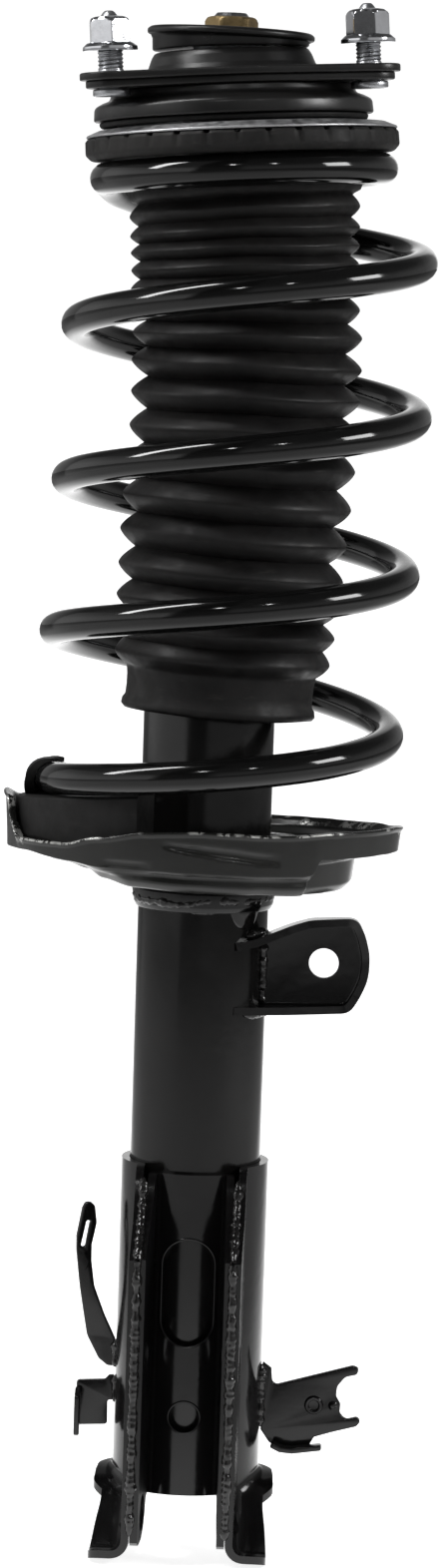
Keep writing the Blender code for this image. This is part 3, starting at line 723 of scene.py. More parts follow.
belongs(seal, "mount", "rubber_black", "bearing_seal")


def threaded_stud(name, place):
    """Pressed-in stud: flat round head under the plate, rolled thread, pointed end."""
    pitch, major, depth = 1.5, 4.9, 0.55
    rows = []
    sides = 28

    def row(z, r, turn=None):
        points = []
        for i in range(sides):
            a = 2 * pi * i / sides
            q = r
            if turn is not None:
                phase = ((z / pitch) - a / (2 * pi)) % 1.0
                q = r - depth * (1 - abs(2 * phase - 1)) * turn
            points.append(polar(q, a, z))
        rows.append(points)

    for z, r in ((-12.6, 6.4), (-12.5, 6.9), (-12.1, 7.2), (-10.5, 7.2), (-10.0, 6.9), (-9.9, 6.4), (-9.8, 4.9),
                 (-3.2, 4.9)):
        row(z, r)
    z = -3.0
    while z < 15.6:
        row(z, major, min((z + 3.0) / 1.0, 1.0))
        z += pitch / 8
    for z, r in ((15.8, 4.3), (17.4, 3.4), (18.9, 2.3), (19.5, 1.6), (19.6, 1.0)):
        row(z, r)
    return loft(name, rows, ZINC, place=place, sharp=50.0)


def nut(name, levels, across, turn, mats, place=None):
    """Hexagon nut from (six-sided or not, height, radius) levels; a level's radius cuts the corners off."""
    rows = []
    for six_sided, z, r in levels:
        points = []
        for i in range(144):
            a = 2 * pi * i / 144
            t = (a - radians(turn) + pi / 6) % (pi / 3) - pi / 6
            q = min(across / 2 / cos(t), r) if six_sided else r
            points.append(polar(q, a, z))
        rows.append(points)
    return loft(name, rows, mats, closed_along=True, caps=False, place=place, sharp=24.0)


FLANGE_NUT = (
    (0, 4.4, 10.1), (0, 4.5, 10.4), (0, 5.0, 10.5), (0, 6.0, 10.4), (0, 6.8, 9.6), (0, 7.4, 8.9), (1, 7.7, 9.2),
    (1, 9.0, 9.2), (1, 12.0, 9.2), (1, 14.6, 9.2), (1, 15.4, 8.3), (1, 16.2, 7.7), (0, 16.9, 6.9), (0, 17.3, 6.1),
    (0, 17.4, 5.3), (0, 16.9, 5.0), (0, 10.0, 5.0), (0, 4.5, 5.1))
for index, ((stud_x, stud_y), turn) in enumerate(zip(stud_places, (8.0, 22.0, 14.0)), 1):
    at = STEER @ Matrix.Translation(Vector((stud_x, stud_y, 0)) * MM)
    belongs(threaded_stud(f"threaded_stud_{index}", at), "mount", "zinc", f"stud_{index}")
    belongs(nut(f"flange_nut_{index}", FLANGE_NUT, 14.6, turn, BRIGHT, at), "mount", "bright_zinc",
            f"stud_nut_{index}")
belongs(turned("race_rim", [(45.4, -15.2), (45.4, -12.9), (45.8, -12.9), (45.8, -15.2)], BEARING, 96, STEER,
               corner=0.1), "mount", "bearing_steel")

# ---- bearing plate and insulator, on the rod's side of the bearing ----


def eccentric(z):
    """The bearing plate's shift towards +X, by height."""
    return ECC * ramp_up(-z, 22.5, 23.7)


washer = turned("bearing_washer", [(16.5, -23.4), (16.5, -21.0), (45.6, -21.0, 1.0), (46.4, -23.7, 1.0),
                                   (55.4, -24.4, 2.0), (60.0, -26.3, 0.7), (60.0, -27.2, 0.4), (44.6, -27.1),
                                   (43.4, -23.4)],
                GREY_STEEL, 192, STEER, shift=eccentric, corner=0.5)
belongs(washer, "rod", "grey_steel", "upper_spring_seat")


def make_insulator():
    """Rubber ring with moulded notches along its upper edge."""
    section = rounded([(41.5, -34.6, 1.5), (41.5, -27.5, 0.6), (59.7, -27.5, 0.5), (60.5, -28.6, 0.8),
                       (60.6, -33.6, 2.2), (58.4, -35.9, 2.2), (44.0, -35.9, 2.0)], 1.0, 5)
    steps, rows = 384, []
    for k in range(steps):
        a = 2 * pi * k / steps
        deg = 360.0 * k / steps
        notch = 1.0 if (deg * 32 / 360) % 1.0 < 0.16 else 0.0
        row = []
        for r, z in section:
            if notch and z > -30.0 and r > 58.5:
                r, z = r - 1.0, min(z, -28.6)
            rough = 0.16 * wobble((r * cos(a), r * sin(a), z * 2), 2.2, 4.0)
            rough += 0.3 * wobble(polar(r, a, z), 15.0, 1.0)
            row.append((ECC + (r + rough) * cos(a), (r + rough) * sin(a), z + 0.2 * rough))
        rows.append(row)
    return loft("insulator_ring", rows, RUBBER, closed_along=True, caps=False, place=STEER, sharp=45.0)


belongs(make_insulator(), "rod", "rubber_black", "upper_insulator")
dish = turned("rebound_dish_fine", [(7.3, 562.9), (7.3, 565.0), (26.6, 565.0, 2.0), (28.4, 568.2, 1.0),
                                    (31.0, 568.5, 1.0), (32.3, 567.4, 1.0), (32.2, 565.8, 0.8), (30.4, 565.0, 1.0),
                                    (30.0, 562.9, 1.0)],
              SATIN, 192, corner=0.3)
for vert in dish.data.vertices:  # the rolled rim stands slightly out of square
    if vert.co.z > 0.56505 and vert.co.xy.length > 0.027:
        vert.co.z -= 0.022 * vert.co.x
    elif vert.co.z < 0.564 and vert.co.xy.length > 0.027:
        vert.co.z += 0.055 * (vert.co.x - 0.031)
belongs(dish, "rod", "satin_black", "rebound_dish")


CROWN_NUT = ((1, 565.1, 10.2), (1, 565.5, 10.4), (1, 571.6, 10.4), (1, 572.6, 9.8), (1, 573.2, 9.2),
             (0, 573.5, 8.4), (0, 573.5, 7.6), (0, 573.0, 7.3), (0, 565.1, 7.3))
belongs(nut("crown_nut", CROWN_NUT, 18.0, 38.0, YELLOW), "rod", "yellow_zinc", "top_nut")

# ---- damper tube ----
tube = turned("damper_tube", [(23.0, 1.0), (23.0, 343.0), (25.5, 343.0, 0.8), (25.5, 1.0, 1.5)], PAINT_TUBE, 160,
              corner=0.4)
painted(tube, "outer_tube")

# ---- lower spring seat ----
SEAT_RIM = ((0, 263.4), (20, 261.4), (45, 260.5), (90, 260.0), (135, 263.0), (160, 268.5), (180, 273.0),
            (191, 272.0), (196, 263.0), (201, 256.8), (222, 257.2), (236, 260.6), (252, 263.6), (270, 264.6),
            (300, 263.8), (318, 264.6), (345, 264.6))
SEAT_LEDGE = ((0, 252.6), (45, 251.0), (90, 250.0), (180, 249.8), (205, 250.6), (224, 249.0), (236, 247.6),
              (306, 246.4), (309.5, 246.8), (313, 252.6), (340, 253.0))
SEAT_PAN = ((0, 239.6), (90, 240.2), (150, 244.0), (180, 247.0), (210, 248.0), (222, 246.4), (232, 244.0),
            (246, 241.8), (262, 241.0), (290, 240.4), (308, 240.2), (314, 239.7), (340, 239.5))
SEAT_INNER = ((0, 58.0), (90, 56.0), (150, 60.0), (200, 64.0), (222, 61.5), (234, 63.0), (246, 64.0), (270, 63.0),
              (290, 64.0), (308, 66.6), (312, 61.0), (330, 60.4))


def seat_radius(degrees):
    t = radians(degrees)
    reach = 2.0 * max(0.0, -cos(t)) ** 3
    return reach + 1 / sqrt((cos(t) / 76.4) ** 2 + (sin(t) / 65.0) ** 2)


def pressed(deg, z):
    """Depth of the pressed marks on the seat's front wall."""
    across = (deg - 278.0) / 20.0
    up = (z - (256.6 - across * 2.6)) / (2.3 * (1 - 0.5 * max(-across, 0.0)))
    mark = 1.25 * max(0.0, 1 - across**6) * max(0.0, 1 - up * up)
    across, up = (deg - 245.0) / 9.0, (z - 250.2) / 2.4
    return mark + 1.0 * max(0.0, 1 - across**4) * max(0.0, 1 - up * up)


def make_seat():
    """Pressed dish whose rim, ledge and pan change height round the tube."""
    t, steps = 2.4, 480
    rows = []
    for k in range(steps):
        deg = 360.0 * k / steps
        a = radians(deg)
        r, rim, low = seat_radius(deg), around(SEAT_RIM, deg), around(SEAT_LEDGE, deg)
        pan, inner = around(SEAT_PAN, deg), around(SEAT_INNER, deg)
        wall0, wall1 = (r - 1.0, low + 1.5), (r - 0.2, rim - 2.2)
        wall = [(wall0[0] + (wall1[0] - wall0[0]) * u / 20, wall0[1] + (wall1[1] - wall0[1]) * u / 20, 0)
                for u in range(1, 20)]
        section = rounded([
            (25.8, 237.4, 0.4), (31.0, 237.8, 3), (36.0, pan + 0.2, 3), (inner - 3.0, pan, 2.5),
            (inner - 0.4, pan + 3.0, 2.5), (min(inner + 0.8, r - 3.0), low - 0.9, 1.2),
            (min(inner + 2.6, r - 2.6), low + 0.1, 1.5), (*wall0, 1.6), *wall, (*wall1, 0.5),
            (r + 0.9, rim - 0.4, 0.7), (r - 0.2, rim + 0.2, 0.7),
            (r - t, rim - 1.4, 1.5), (r - t - 1.6, low + t + 3.4, 3), (inner + 1.2, low + t + 1.2, 2),
            (inner - 2.4, pan + t + 3.4, 2.5), (inner - 5.0, pan + t, 2.5), (37.0, pan + 0.2 + t, 3),
            (30.6, 237.8 + t, 3), (25.8, 237.4 + t, 0.4)], 1.0, 3)
        row = []
        for q, z in section:
            push = pressed(deg, z) if q > inner - 2.6 and z < rim - 1.5 else 0.0
            q += 0.2 * wobble(polar(q, a, z), 18.0, 6.0) - push
            row.append((q * cos(a), q * sin(a), z + 0.2 * wobble(polar(q, a, 0), 9)))
        rows.append(row)
    obj = loft("spring_seat", rows, [PAINT_SEAT, PAINT_EDGE], closed_along=True, caps=False, sharp=48.0)
    for poly in obj.data.polygons:
        c = poly.center / MM
        deg = math.degrees(atan2(c.y, c.x)) % 360
        chipped = 1.0 if 204 < deg < 350 else 3.0  # how far down from the rim, less along the front
        if c.z > around(SEAT_RIM, deg) - chipped and hypot(c.x, c.y) > seat_radius(deg) - 3.2:
            poly.material_index = 1
    return obj


painted(make_seat(), "lower_spring_seat")


def make_pad():
    """Rubber bed under the first part of the coil."""
    rows = []
    for k in range(72):
        deg = 157.0 + 90.5 * k / 71
        a = radians(deg)
        r = seat_radius(deg)
        low = around(SEAT_LEDGE, deg) + 2.4 + 0.9
        top = hermite(SPRING_HEIGHTS, max(deg, SPRING_START)) - WIRE_R - 0.4
        top = max(top, low + 4.5)
        section = rounded([(r - 19, low, 1.5), (r - 9.6, low, 2), (r - 5.4, low + 1.2, 2), (r - 4.2, low + 3.6, 2),
                           (r - 4.0, top - 0.8, 1.0), (r - 6.6, top, 1.2), (r - 8.8, top, 2),
                           (r - 19, top, 1.5)], 1.0, 3)
        rows.append([polar(q, a, z) for q, z in section])
    return loft("seat_pad", rows, RUBBER_PLAIN, sharp=50.0)


def make_stop():
    """Rubber cup moulded round the wire's cut end, open where the wire leaves it."""
    rows = []
    cx = hermite(SPRING_BOW, 273.0)
    for k in range(57):
        deg = 160.5 + 39.5 * k / 56
        a = radians(deg)
        wire = wire_centre(max(deg, SPRING_START))
        track = hypot(wire.x - cx, wire.y)
        leave = ramp_up(deg, 183.0, 200.0)
        shut = min(max((165.3 - deg) / 0.8, 0.0), 1.0)
        bulge = min(max((deg - 160.0) / 3.0, 0.05), 1.0) ** 0.5
        low, high = -70 + 150 * leave**1.3, 92.0
        inner_r, outer_r = 6.45 - 5.9 * shut, 6.45 + 3.1 * bulge
        outside, inside = [], []
        for j in range(13):
            t = radians(low + (high - low) * j / 12)
            thick = (outer_r - 6.45) * (0.28 + 0.72 * max(cos(t), 0.0))
            outside.append((track + (6.45 + thick) * cos(t), wire.z + (6.45 + thick) * sin(t)))
            inside.append((track + inner_r * cos(t), wire.z + inner_r * sin(t)))
        skirt = 5.5 * (1 - leave) ** 2
        section = ([(inside[0][0], inside[0][1] - skirt), (outside[0][0] + 0.6 * skirt, outside[0][1] - skirt)]
                   + outside + inside[::-1])
        rows.append([(cx + q * cos(a), q * sin(a), z) for q, z in section])
    return loft("wire_end_stop", rows, RUBBER_PLAIN, sharp=50.0)


belongs(make_pad(), "strut_body", "rubber_black", "lower_insulator")
belongs(make_stop(), "strut_body", "rubber_black")


# ---- welds ----
def weld(name, path, radius, step=1.6, rough=0.28, sides=14):
    """Rippled weld bead along a path, part sunk into the plates it joins."""
    points = finely(path, 0.55)
    total = 0.0
    rows = []
    for k, p in enumerate(points):
        before, after = points[max(k - 1, 0)], points[min(k + 1, len(points) - 1)]
        along = (after - before).normalized()
        if k:
            total += (p - points[k - 1]).length
        side = along.cross(Vector((0, 0, 1)) if abs(along.z) < 0.8 else Vector((0, 1, 0))).normalized()
        over = side.cross(along)
        phase = (total / step) % 1.0
        end = min(k, len(points) - 1 - k) / 4.0
        r = radius * (0.88 + 0.1 * (1 - abs(2 * phase - 1)) ** 2 + rough * wobble(p, 3.5, 2.0))
        r *= min(1.0, 0.35 + end * 0.65)
        spokes = [q - p for q in hoop(p, side, over, 1.0, sides)]
        rows.append([p + spoke * r * (1 + 0.3 * wobble(p + spoke * 2, 1.3, 8.0)) for spoke in spokes])
    return loft(name, rows, WELD, sharp=75.0)


ring_path = [(26.3 * cos(radians(a)), 26.3 * sin(radians(a)),
              233.4 + 2.6 * wobble((a / 9.0, 0, 0), 3.0, 1.0)) for a in range(0, 366, 6)]
collar = turned("seat_collar_fine", [(25.8, 229.4), (25.8, 237.0), (28.2, 237.0, 0.6), (27.4, 231.4, 2.0),
                                     (26.4, 229.4, 0.8)], PAINT, 96, corner=0.4)
painted(collar, "seat_collar")
painted(weld("seat_weld", ring_path, 1.9, 3.4, 0.45))


def drip(name, centre, half, top, low, height, point=2.4):
    """Smooth tongue of weld metal lying on the tube."""
    rows = []
    for i in range(33):
        u = i / 16 - 1
        a = radians(centre + half * u)
        bottom = top - (top - low) * max(1 - abs(u) ** point, 0.02) ** 0.6
        line = []
        for k in range(17):
            v = k / 16
            z = bottom + (top - bottom) * v
            lift = height * (max(1 - abs(u) ** 3, 0.0)) ** 0.5 * min(1.0, 2.4 * v) ** 0.5
            lift += 0.15 * wobble(polar(25, a, z), 3.0, centre)
            line.append((25.35 + max(lift, 0.05), z))
        line += [(24.9, top), (24.9, bottom)]
        rows.append([polar(q, a, z) for q, z in line])
    return loft(name, rows, WELD, sharp=60.0)


for index, spot in enumerate(((272, 20, 237.2, 228.6, 1.7, 4.0), (313, 19, 236.8, 222.6, 1.3, 2.4),
                              (182, 13, 238.0, 229.6, 2.2, 2.4), (352, 12, 237.5, 231.4, 2.0, 2.4),
                              (95, 30, 237.5, 229.0, 1.6, 3.0)), 1):
    painted(drip(f"seat_drip_{index}", *spot))

# ---- knuckle bracket: outer sheet with its turned-out rim ----
OUTER_X = 21.5
FRONT_Y = -59.0
TOP_EDGE = ((-59.0, 99.0), (-52, 103.5), (-40, 110.5), (-33, 121.0), (-29, 129.0), (-25, 130.0), (30, 130.0))
LOW_EDGE = ((-59.0, -17.0), (-53, -18.6), (-47, -18.9), (-38, -14.6), (-30, -9.2), (-18, -2.0), (-8, 2.6),
            (2, 4.6), (10, 5.0), (30, 5.0))
RIM_WIDTH = ((-59.0, 10.4), (-58, 12.4), (-55.5, 14.0), (-50, 14.2), (-36, 13.2), (-25, 11.8), (-19, 11.6),
             (-14, 11.6), (-10, 9.6), (-4, 7.6), (0, 6.6), (3, 4.4), (6, 1.6), (9, 0.3), (30, 0.2))


def outer_stations():
    """(centre point, outward normal) along the sheet from the -X front edge to the +X front edge."""
    x = OUTER_X - SHEET / 2
    r = WRAP_R + SHEET / 2
    turn_y = -sqrt(r * r - x * x)
    stations = [((-x, FRONT_Y + (turn_y - FRONT_Y) * k / 26), (-1, 0)) for k in range(26)]
    start = math.degrees(atan2(turn_y, -x)) % 360
    stop = math.degrees(atan2(turn_y, x)) % 360 - 360
    span = start - stop
    for k in range(97):
        a = radians(start - span * k / 96)
        stations.append(((r * cos(a), r * sin(a)), (cos(a), sin(a))))
    stations += [((x, turn_y + (FRONT_Y - turn_y) * k / 26), (1, 0)) for k in range(1, 27)]
    return stations


def sheet_rows(point, normal, top, low, width, levels=18):
    """Down the sheet and out along its rim: list of (position, outward normal)."""
    p, n = Vector((*point, 0)), Vector((*normal, 0))
    sideways = min(max((-1.0 - p.y) / 6.0, 0.0), 1.0)
    out_way = n.lerp(Vector((math.copysign(1.0, p.x), 0, 0)), sideways).normalized()
    bend = min(6.5, 0.3 + width * 0.5)
    low_mid = low + SHEET / 2
    out = []
    for k in range(levels + 1):
        z = top + (low_mid + bend - top) * k / levels
        out.append((p + Vector((0, 0, z)), n))
    for k in range(1, 9):
        a = pi / 2 * k / 8
        pos = p + out_way * bend * (1 - cos(a)) + Vector((0, 0, low_mid + bend - bend * sin(a)))
        out.append((pos, (n * cos(a) + Vector((0, 0, sin(a)))).normalized()))
    run = max(width - bend, 0.05)
    for k in range(1, 5):
        out.append((p + out_way * (bend + run * k / 4) + Vector((0, 0, low_mid)), Vector((0, 0, 1))))
    return out


def thick_grid(name, columns, thickness, mats):
    """Sheet of even thickness over a grid of (position, normal)."""
    bm = bmesh.new()
    half = thickness / 2
    layers = [[[bm.verts.new(p + n * half * side) for p, n in column] for column in columns] for side in (1, -1)]
    rows, cols = len(columns[0]), len(columns)
    for index, layer in enumerate(layers):
        for i in range(cols - 1):
            for j in range(rows - 1):
                quad = (layer[i][j], layer[i + 1][j], layer[i + 1][j + 1], layer[i][j + 1])
                bm.faces.new(quad if index == 0 else quad[::-1])
    a, b = layers
    for i in range(cols - 1):
        for j in (0, rows - 1):
            bm.faces.new((a[i][j], a[i + 1][j], b[i + 1][j], b[i][j]))
    for j in range(rows - 1):
        for i in (0, cols - 1):
            bm.faces.new((a[i][j], a[i][j + 1], b[i][j + 1], b[i][j]))
    return finish_mesh(name, bm, mats, sharp=38.0)


def cut_prism(obj, outline, axis, low, high):
    """Cut a straight-sided hole of this outline through obj."""
    rows = [[(depth, u, v) if axis == "X" else (u, depth, v) for u, v in outline] for depth in (low, high)]
    return cut(obj, loft("cutter", rows, []))


def drill(obj, axis, across, up, radius, low, high):
    """Round hole along an axis."""
    return cut_prism(obj, arc(across, up, radius, 0, 360, 64)[:-1], axis, low, high)


def drill_bolts(obj):
    """Both clamp-bolt holes, through both flanges."""
    for y, z in ((-40.0, -3.0), (-42.0, 57.0)):
        drill(obj, "X", y, z, 7.2, -32, 32)


columns = []
for point, normal in outer_stations():
    y = point[1]
    rim_width = hermite(RIM_WIDTH, y)
    columns.append(sheet_rows(point, normal, linear(TOP_EDGE, y), hermite(LOW_EDGE, y), rim_width))
outer = thick_grid("bracket_outer", columns, SHEET, PAINT_BRACKET)
drill_bolts(outer)
soften(outer, 1.2, 4)
painted(outer, "knuckle_bracket")

# inner reinforcement: two legs and the web across the tube's front
INNER_X = OUTER_X - SHEET - 0.3
LEG_SPLAY = 2.0


def inner_stations():
    x = INNER_X - SHEET / 2
    r = WRAP_R + SHEET / 2
    bend = 2.4
    web_x = x - bend * 0.9
    web_y = -sqrt(r * r - web_x * web_x)
    leg_end = web_y - bend * 0.55
    stations = [((-x + LEG_SPLAY * (k / 20) ** 2, -57.8 + (leg_end + 57.8) * k / 20), (1, 0)) for k in range(21)]
    web_x -= LEG_SPLAY
    web_y = -sqrt(r * r - web_x * web_x)
    start = math.degrees(atan2(web_y, -web_x))
    stop = math.degrees(atan2(web_y, web_x))
    for k in range(1, 6):
        u = k / 6
        a = radians(start)
        p0, p3 = Vector((-x + LEG_SPLAY, leg_end)), Vector((r * cos(a), r * sin(a)))
        p1, p2 = p0 + Vector((0, 1.6)), p3 - Vector((-sin(a), cos(a))) * 1.8
        q = p0 * (1 - u) ** 3 + p1 * 3 * u * (1 - u) ** 2 + p2 * 3 * u * u * (1 - u) + p3 * u**3
        facing = Vector((1, 0)).lerp(Vector((cos(a), sin(a))), u).normalized()
        stations.append(((q.x, q.y), (facing.x, facing.y)))
    for k in range(49):
        a = radians(start + (stop - start) * k / 48)
        stations.append(((r * cos(a), r * sin(a)), (cos(a), sin(a))))
    mirrored = [((-p[0], p[1]), (-n[0], n[1])) for p, n in reversed(stations[:26])]
    return stations + mirrored


INNER_LOW = ((-57.8, -11.0), (-54, -13.0), (-47, -13.7), (-40, -13.4), (-34, -10.0), (-30.5, -4.0), (-29.4, 0.5),
             (-28, 1.6), (30, 1.6))
columns = []
for point, normal in inner_stations():
    y = point[1]
    top = min(linear(TOP_EDGE, y - 1.0), 127.6)
    low = linear(INNER_LOW, y)
    p, n = Vector((*point, 0)), Vector((*normal, 0))
    columns.append([(p + Vector((0, 0, top + (low - top) * k / 26)), n) for k in range(27)])
inner = thick_grid("bracket_inner", columns, SHEET, PAINT_BRACKET)


def slot(z, w, reach, steps):
    """Outline with round ends of radius w, upright, centred at height z."""
    return arc(0, z + reach, w, 0, 180, steps) + arc(0, z - reach, w, 180, 360, steps)


# name, height of the centre, half width, and how far the round ends' centres are from it
WINDOWS = (("upper", 81.4, 10.0, 11.0), ("lower", 32.5, 6.0, 0.00005))
for _, window_z, half, reach in WINDOWS:
    cut_prism(inner, slot(window_z, half, reach, 32), "Y", -40, -15)
drill_bolts(inner)
soften(inner, 0.6, 3)
# the legs' inward faces at the front take the dull copy of the paint as painted shade between the legs
inner.data.materials.append(PAINT_SHADED)
for face in inner.data.polygons:
    if face.normal.x * face.center.x < 0 and abs(face.normal.x) > 0.9 and face.center.y < -28 * MM:
        face.material_index = len(inner.data.materials) - 1
painted(inner, "bracket_reinforcement")


def window_lip(name, z, half, reach):
    """Paint bead that gathers round a window's edge."""
    loop = slot(z, half + 0.2, reach, 28)
    ring_rows = []
    for x, z_at in finely(loop + loop[:1], 1.2)[:-1]:
        y = -sqrt((WRAP_R + SHEET) ** 2 - x * x)
        lean = atan2(z_at - max(min(z_at, z + reach), z - reach), x)
        out = Vector((cos(lean), 0, sin(lean)))
        front = Vector((x, y, 0)).normalized()
        ring_rows.append(hoop(Vector((x, y, z_at)), out, front, 0.55, 10))
    return loft(name, ring_rows, PAINT_BRACKET, closed_along=True, caps=False, sharp=80.0)


for which, *window_size in WINDOWS:
    painted(window_lip(f"window_lip_{which}", *window_size))

# seams down both pairs of flanges
FLANGE_SEAM = ((-59.2, -8.0), (-59.4, 30.0), (-59.3, 92.0), (-58.4, 98.0), (-55.0, 101.6), (-41.0, 109.6),
               (-34.0, 119.2), (-30.5, 126.2))
for side, name in ((-1, "left"), (1, "right")):
    seam = [(side * 18.4, y, z) for y, z in FLANGE_SEAM]
    painted(weld(f"flange_weld_{name}", seam, 1.75, 2.2, 0.5))

# ---- stabiliser link bracket ----
LINK_TOP = ((14.0, 217.6), (22.0, 219.6), (27.0, 221.8), (35.0, 225.2), (42.5, 227.5), (52.0, 228.0), (59.3, 228.2),
            (61.4, 226.8), (64.2, 220.6), (65.8, 214.0), (65.9, 208.0), (65.2, 203.0), (62.6, 197.0), (59.6, 192.0),
            (57.6, 190.6), (50.0, 190.3), (30.0, 189.9), (14.0, 189.6))


def make_link_bracket():
    """Pressed channel: flat web with the lip turned towards the front all along its edge."""
    dense = finely(LINK_TOP, 1.2)
    for _ in range(3):
        middle = [(a + b * 2 + c) / 4 for a, b, c in zip(dense, dense[1:], dense[2:])]
        dense = [dense[0]] + middle + [dense[-1]]
    t = 3.0
    web_mid = -6.5
    lip_depth = ((0.0, 13.0), (0.16, 12.0), (0.30, 8.0), (0.42, 3.2), (0.5, 1.8), (0.62, 1.8), (0.72, 3.6),
                 (0.85, 9.0), (1.0, 12.5))
    bm = bmesh.new()
    loops = []
    n = len(dense)
    for i, p in enumerate(dense):
        along = (dense[min(i + 1, n - 1)] - dense[max(i - 1, 0)]).normalized()
        outward = Vector((-along.y, along.x))
        if outward.dot(p - Vector((42, 208))) < 0:
            outward = -outward
        depth = linear(lip_depth, i / (n - 1))
        edge = p - outward * t / 2
        bend = 2.6
        base = edge - outward * bend
        section = []
        for k in range(7):
            a = pi / 2 * k / 6
            section.append((base + outward * bend * sin(a), web_mid - bend * (1 - cos(a)),
                            outward * sin(a), cos(a)))
        for k in range(1, 4):
            section.append((edge, web_mid - bend - depth * k / 3, outward, 0.0))
        outer_loop = [(q + nn * t / 2, y + ny * t / 2) for q, y, nn, ny in section]
        inner_loop = [(q - nn * t / 2, y - ny * t / 2) for q, y, nn, ny in section]
        ring = outer_loop + inner_loop[::-1]
        loops.append([bm.verts.new((q.x, y, q.y)) for q, y in ring])
    count = len(loops[0])
    half = count // 2
    for one, two in zip(loops, loops[1:]):
        for i in range(count - 1):
            bm.faces.new((one[i], two[i], two[i + 1], one[i + 1]))
    for loop in (loops[0], loops[-1]):
        for i in range(half - 1):
            bm.faces.new((loop[i], loop[i + 1], loop[count - 2 - i], loop[count - 1 - i]))
    # the web between the two bends, closed at the tube's side
    back = [loop[0] for loop in loops]
    front = [loop[-1] for loop in loops]
    bm.faces.new(back)
    bm.faces.new(front)
    bm.faces.new((back[0], front[0], front[-1], back[-1]))
    return finish_mesh("link_bracket_fine", bm, PAINT_BRACKET, sharp=40.0)


link = make_link_bracket()
drill(link, "Y", 48.0, 209.6, 5.8, -14, 2)
tube_room = turned_solid("tube_room", [(0, 240), (25.75, 240), (25.75, 175), (0, 175)], [], 160, corner=0.0)
cut(link, tube_room)
soften(link, 0.45, 2)
painted(link, "link_bracket")


def tube_point(y, z, r=25.9):
    """A point on the right-hand side of the tube."""
    return (sqrt(r * r - y * y), y, z)


painted(weld("link_weld_top", [tube_point(y, 220.3 + (y + 18) * 0.06) for y in (-18.5, -14, -9, -5)], 1.9, 2.4, 0.4))
painted(weld("link_weld_low", [tube_point(y, 189.4) for y in (-18.5, -14, -9, -5)], 1.9, 2.4, 0.4))
painted(weld("link_weld_web", [tube_point(-9.0, z) for z in (193.0, 200.0, 210.0, 217.0)], 1.9, 2.6, 0.5))

# ---- fork for the brake hose, arm and foot for the wiring ----
ROOT_X = 29.2  # where the small sheets meet the bracket
fork_outline = rounded(
    [(ROOT_X, 23.0, 0.3), (32.7, 18.0, 3), (36.6, 15.9, 3), (41.5, 15.2, 4), (47.6, 15.6, 2.0), (50.4, 20.8, 1.2),
     (58.0, 23.2, 5), (66.8, 25.6, 1.6), (68.6, 27.6, 1.6), (67.2, 29.6, 1.6), (62.5, 28.3, 2.5), (60.2, 30.8, 2.0),
     (60.4, 34.4, 2.0), (58.6, 37.4, 3.0), (58.9, 41.4, 4.0), (62.0, 45.2, 3.0), (66.6, 46.3, 1.6),
     (67.3, 49.0, 1.6), (64.8, 49.9, 2.0), (33.4, 40.8, 2.0), (32.8, 47.6, 0.8), (ROOT_X, 50.2, 0.3)], 1.0, 5)
fork = plate("hose_fork", fork_outline, -1.6, 1.4, PAINT_BRACKET, axis="Y", edge=0.6)
painted(fork, "hose_bracket")
fork_lip = plate("fork_lip", rounded([(33.0, 17.2), (37.0, 15.3), (42.0, 14.9), (53.4, 16.6), (53.6, 18.8),
                                      (42.0, 17.2), (37.5, 17.6), (34.2, 19.2)], 0.8, 4),
                 -7.0, -1.2, PAINT_BRACKET, axis="Y", edge=0.5)
painted(fork_lip)
front_face = Matrix.Rotation(pi / 2, 4, "X")
for name, x, z, profile in (
        ("fork_boss", 49.9, 33.7,
         [(0, 0.5), (1.9, 0.5, 0.2), (2.3, 1.1, 0.2), (3.2, 1.2, 0.3), (3.9, 0.0), (0, 0.0)]),
        ("fork_rivet", 57.4, 33.7, [(0, 1.4), (0.9, 1.3, 0.4), (1.5, 0.4, 0.4), (2.1, 0.0), (0, 0.0)])):
    piece = turned_solid(name, profile, PAINT_BRACKET, 48,
                         Matrix.Translation(Vector((x, -1.55, z)) * MM) @ front_face, corner=0.2)
    painted(piece)

arm_outline = rounded(
    [(-ROOT_X, 57.0, 0.3), (-33.5, 66.4, 8), (-37.9, 78.0, 10), (-39.4, 88.0, 8), (-39.6, 94.2, 5), (-37.9, 102.6, 5),
     (-38.8, 109.2, 1.4), (-40.6, 111.0, 1.4), (-42.6, 110.8, 1.4), (-43.8, 108.6, 2.0), (-45.8, 97.5, 3),
     (-45.6, 92.0, 5), (-43.7, 77.7, 10), (-40.4, 58.0, 8), (-35.6, 48.9, 4), (-32.0, 46.1, 1.5),
     (-ROOT_X, 46.0, 0.3)], 1.0, 6)
slot_hole = arc(-41.5, 102.6, 0.95, 10, 190, 10) + arc(-43.0, 94.4, 0.95, 190, 370, 10)


def arm_twist(v):
    """The strip turns about its own line towards the tip."""
    share = ramp_up(v.z, 58.0, 103.0)
    centre = Vector((-36.0 - 5.5 * share, 0.0, v.z))
    a = radians(24.0) * share * share
    off = v - centre
    return centre + Vector((off.x * cos(a) - off.y * sin(a), off.x * sin(a) + off.y * cos(a)
                            - 2.5 * sin(share * pi), 0.0))


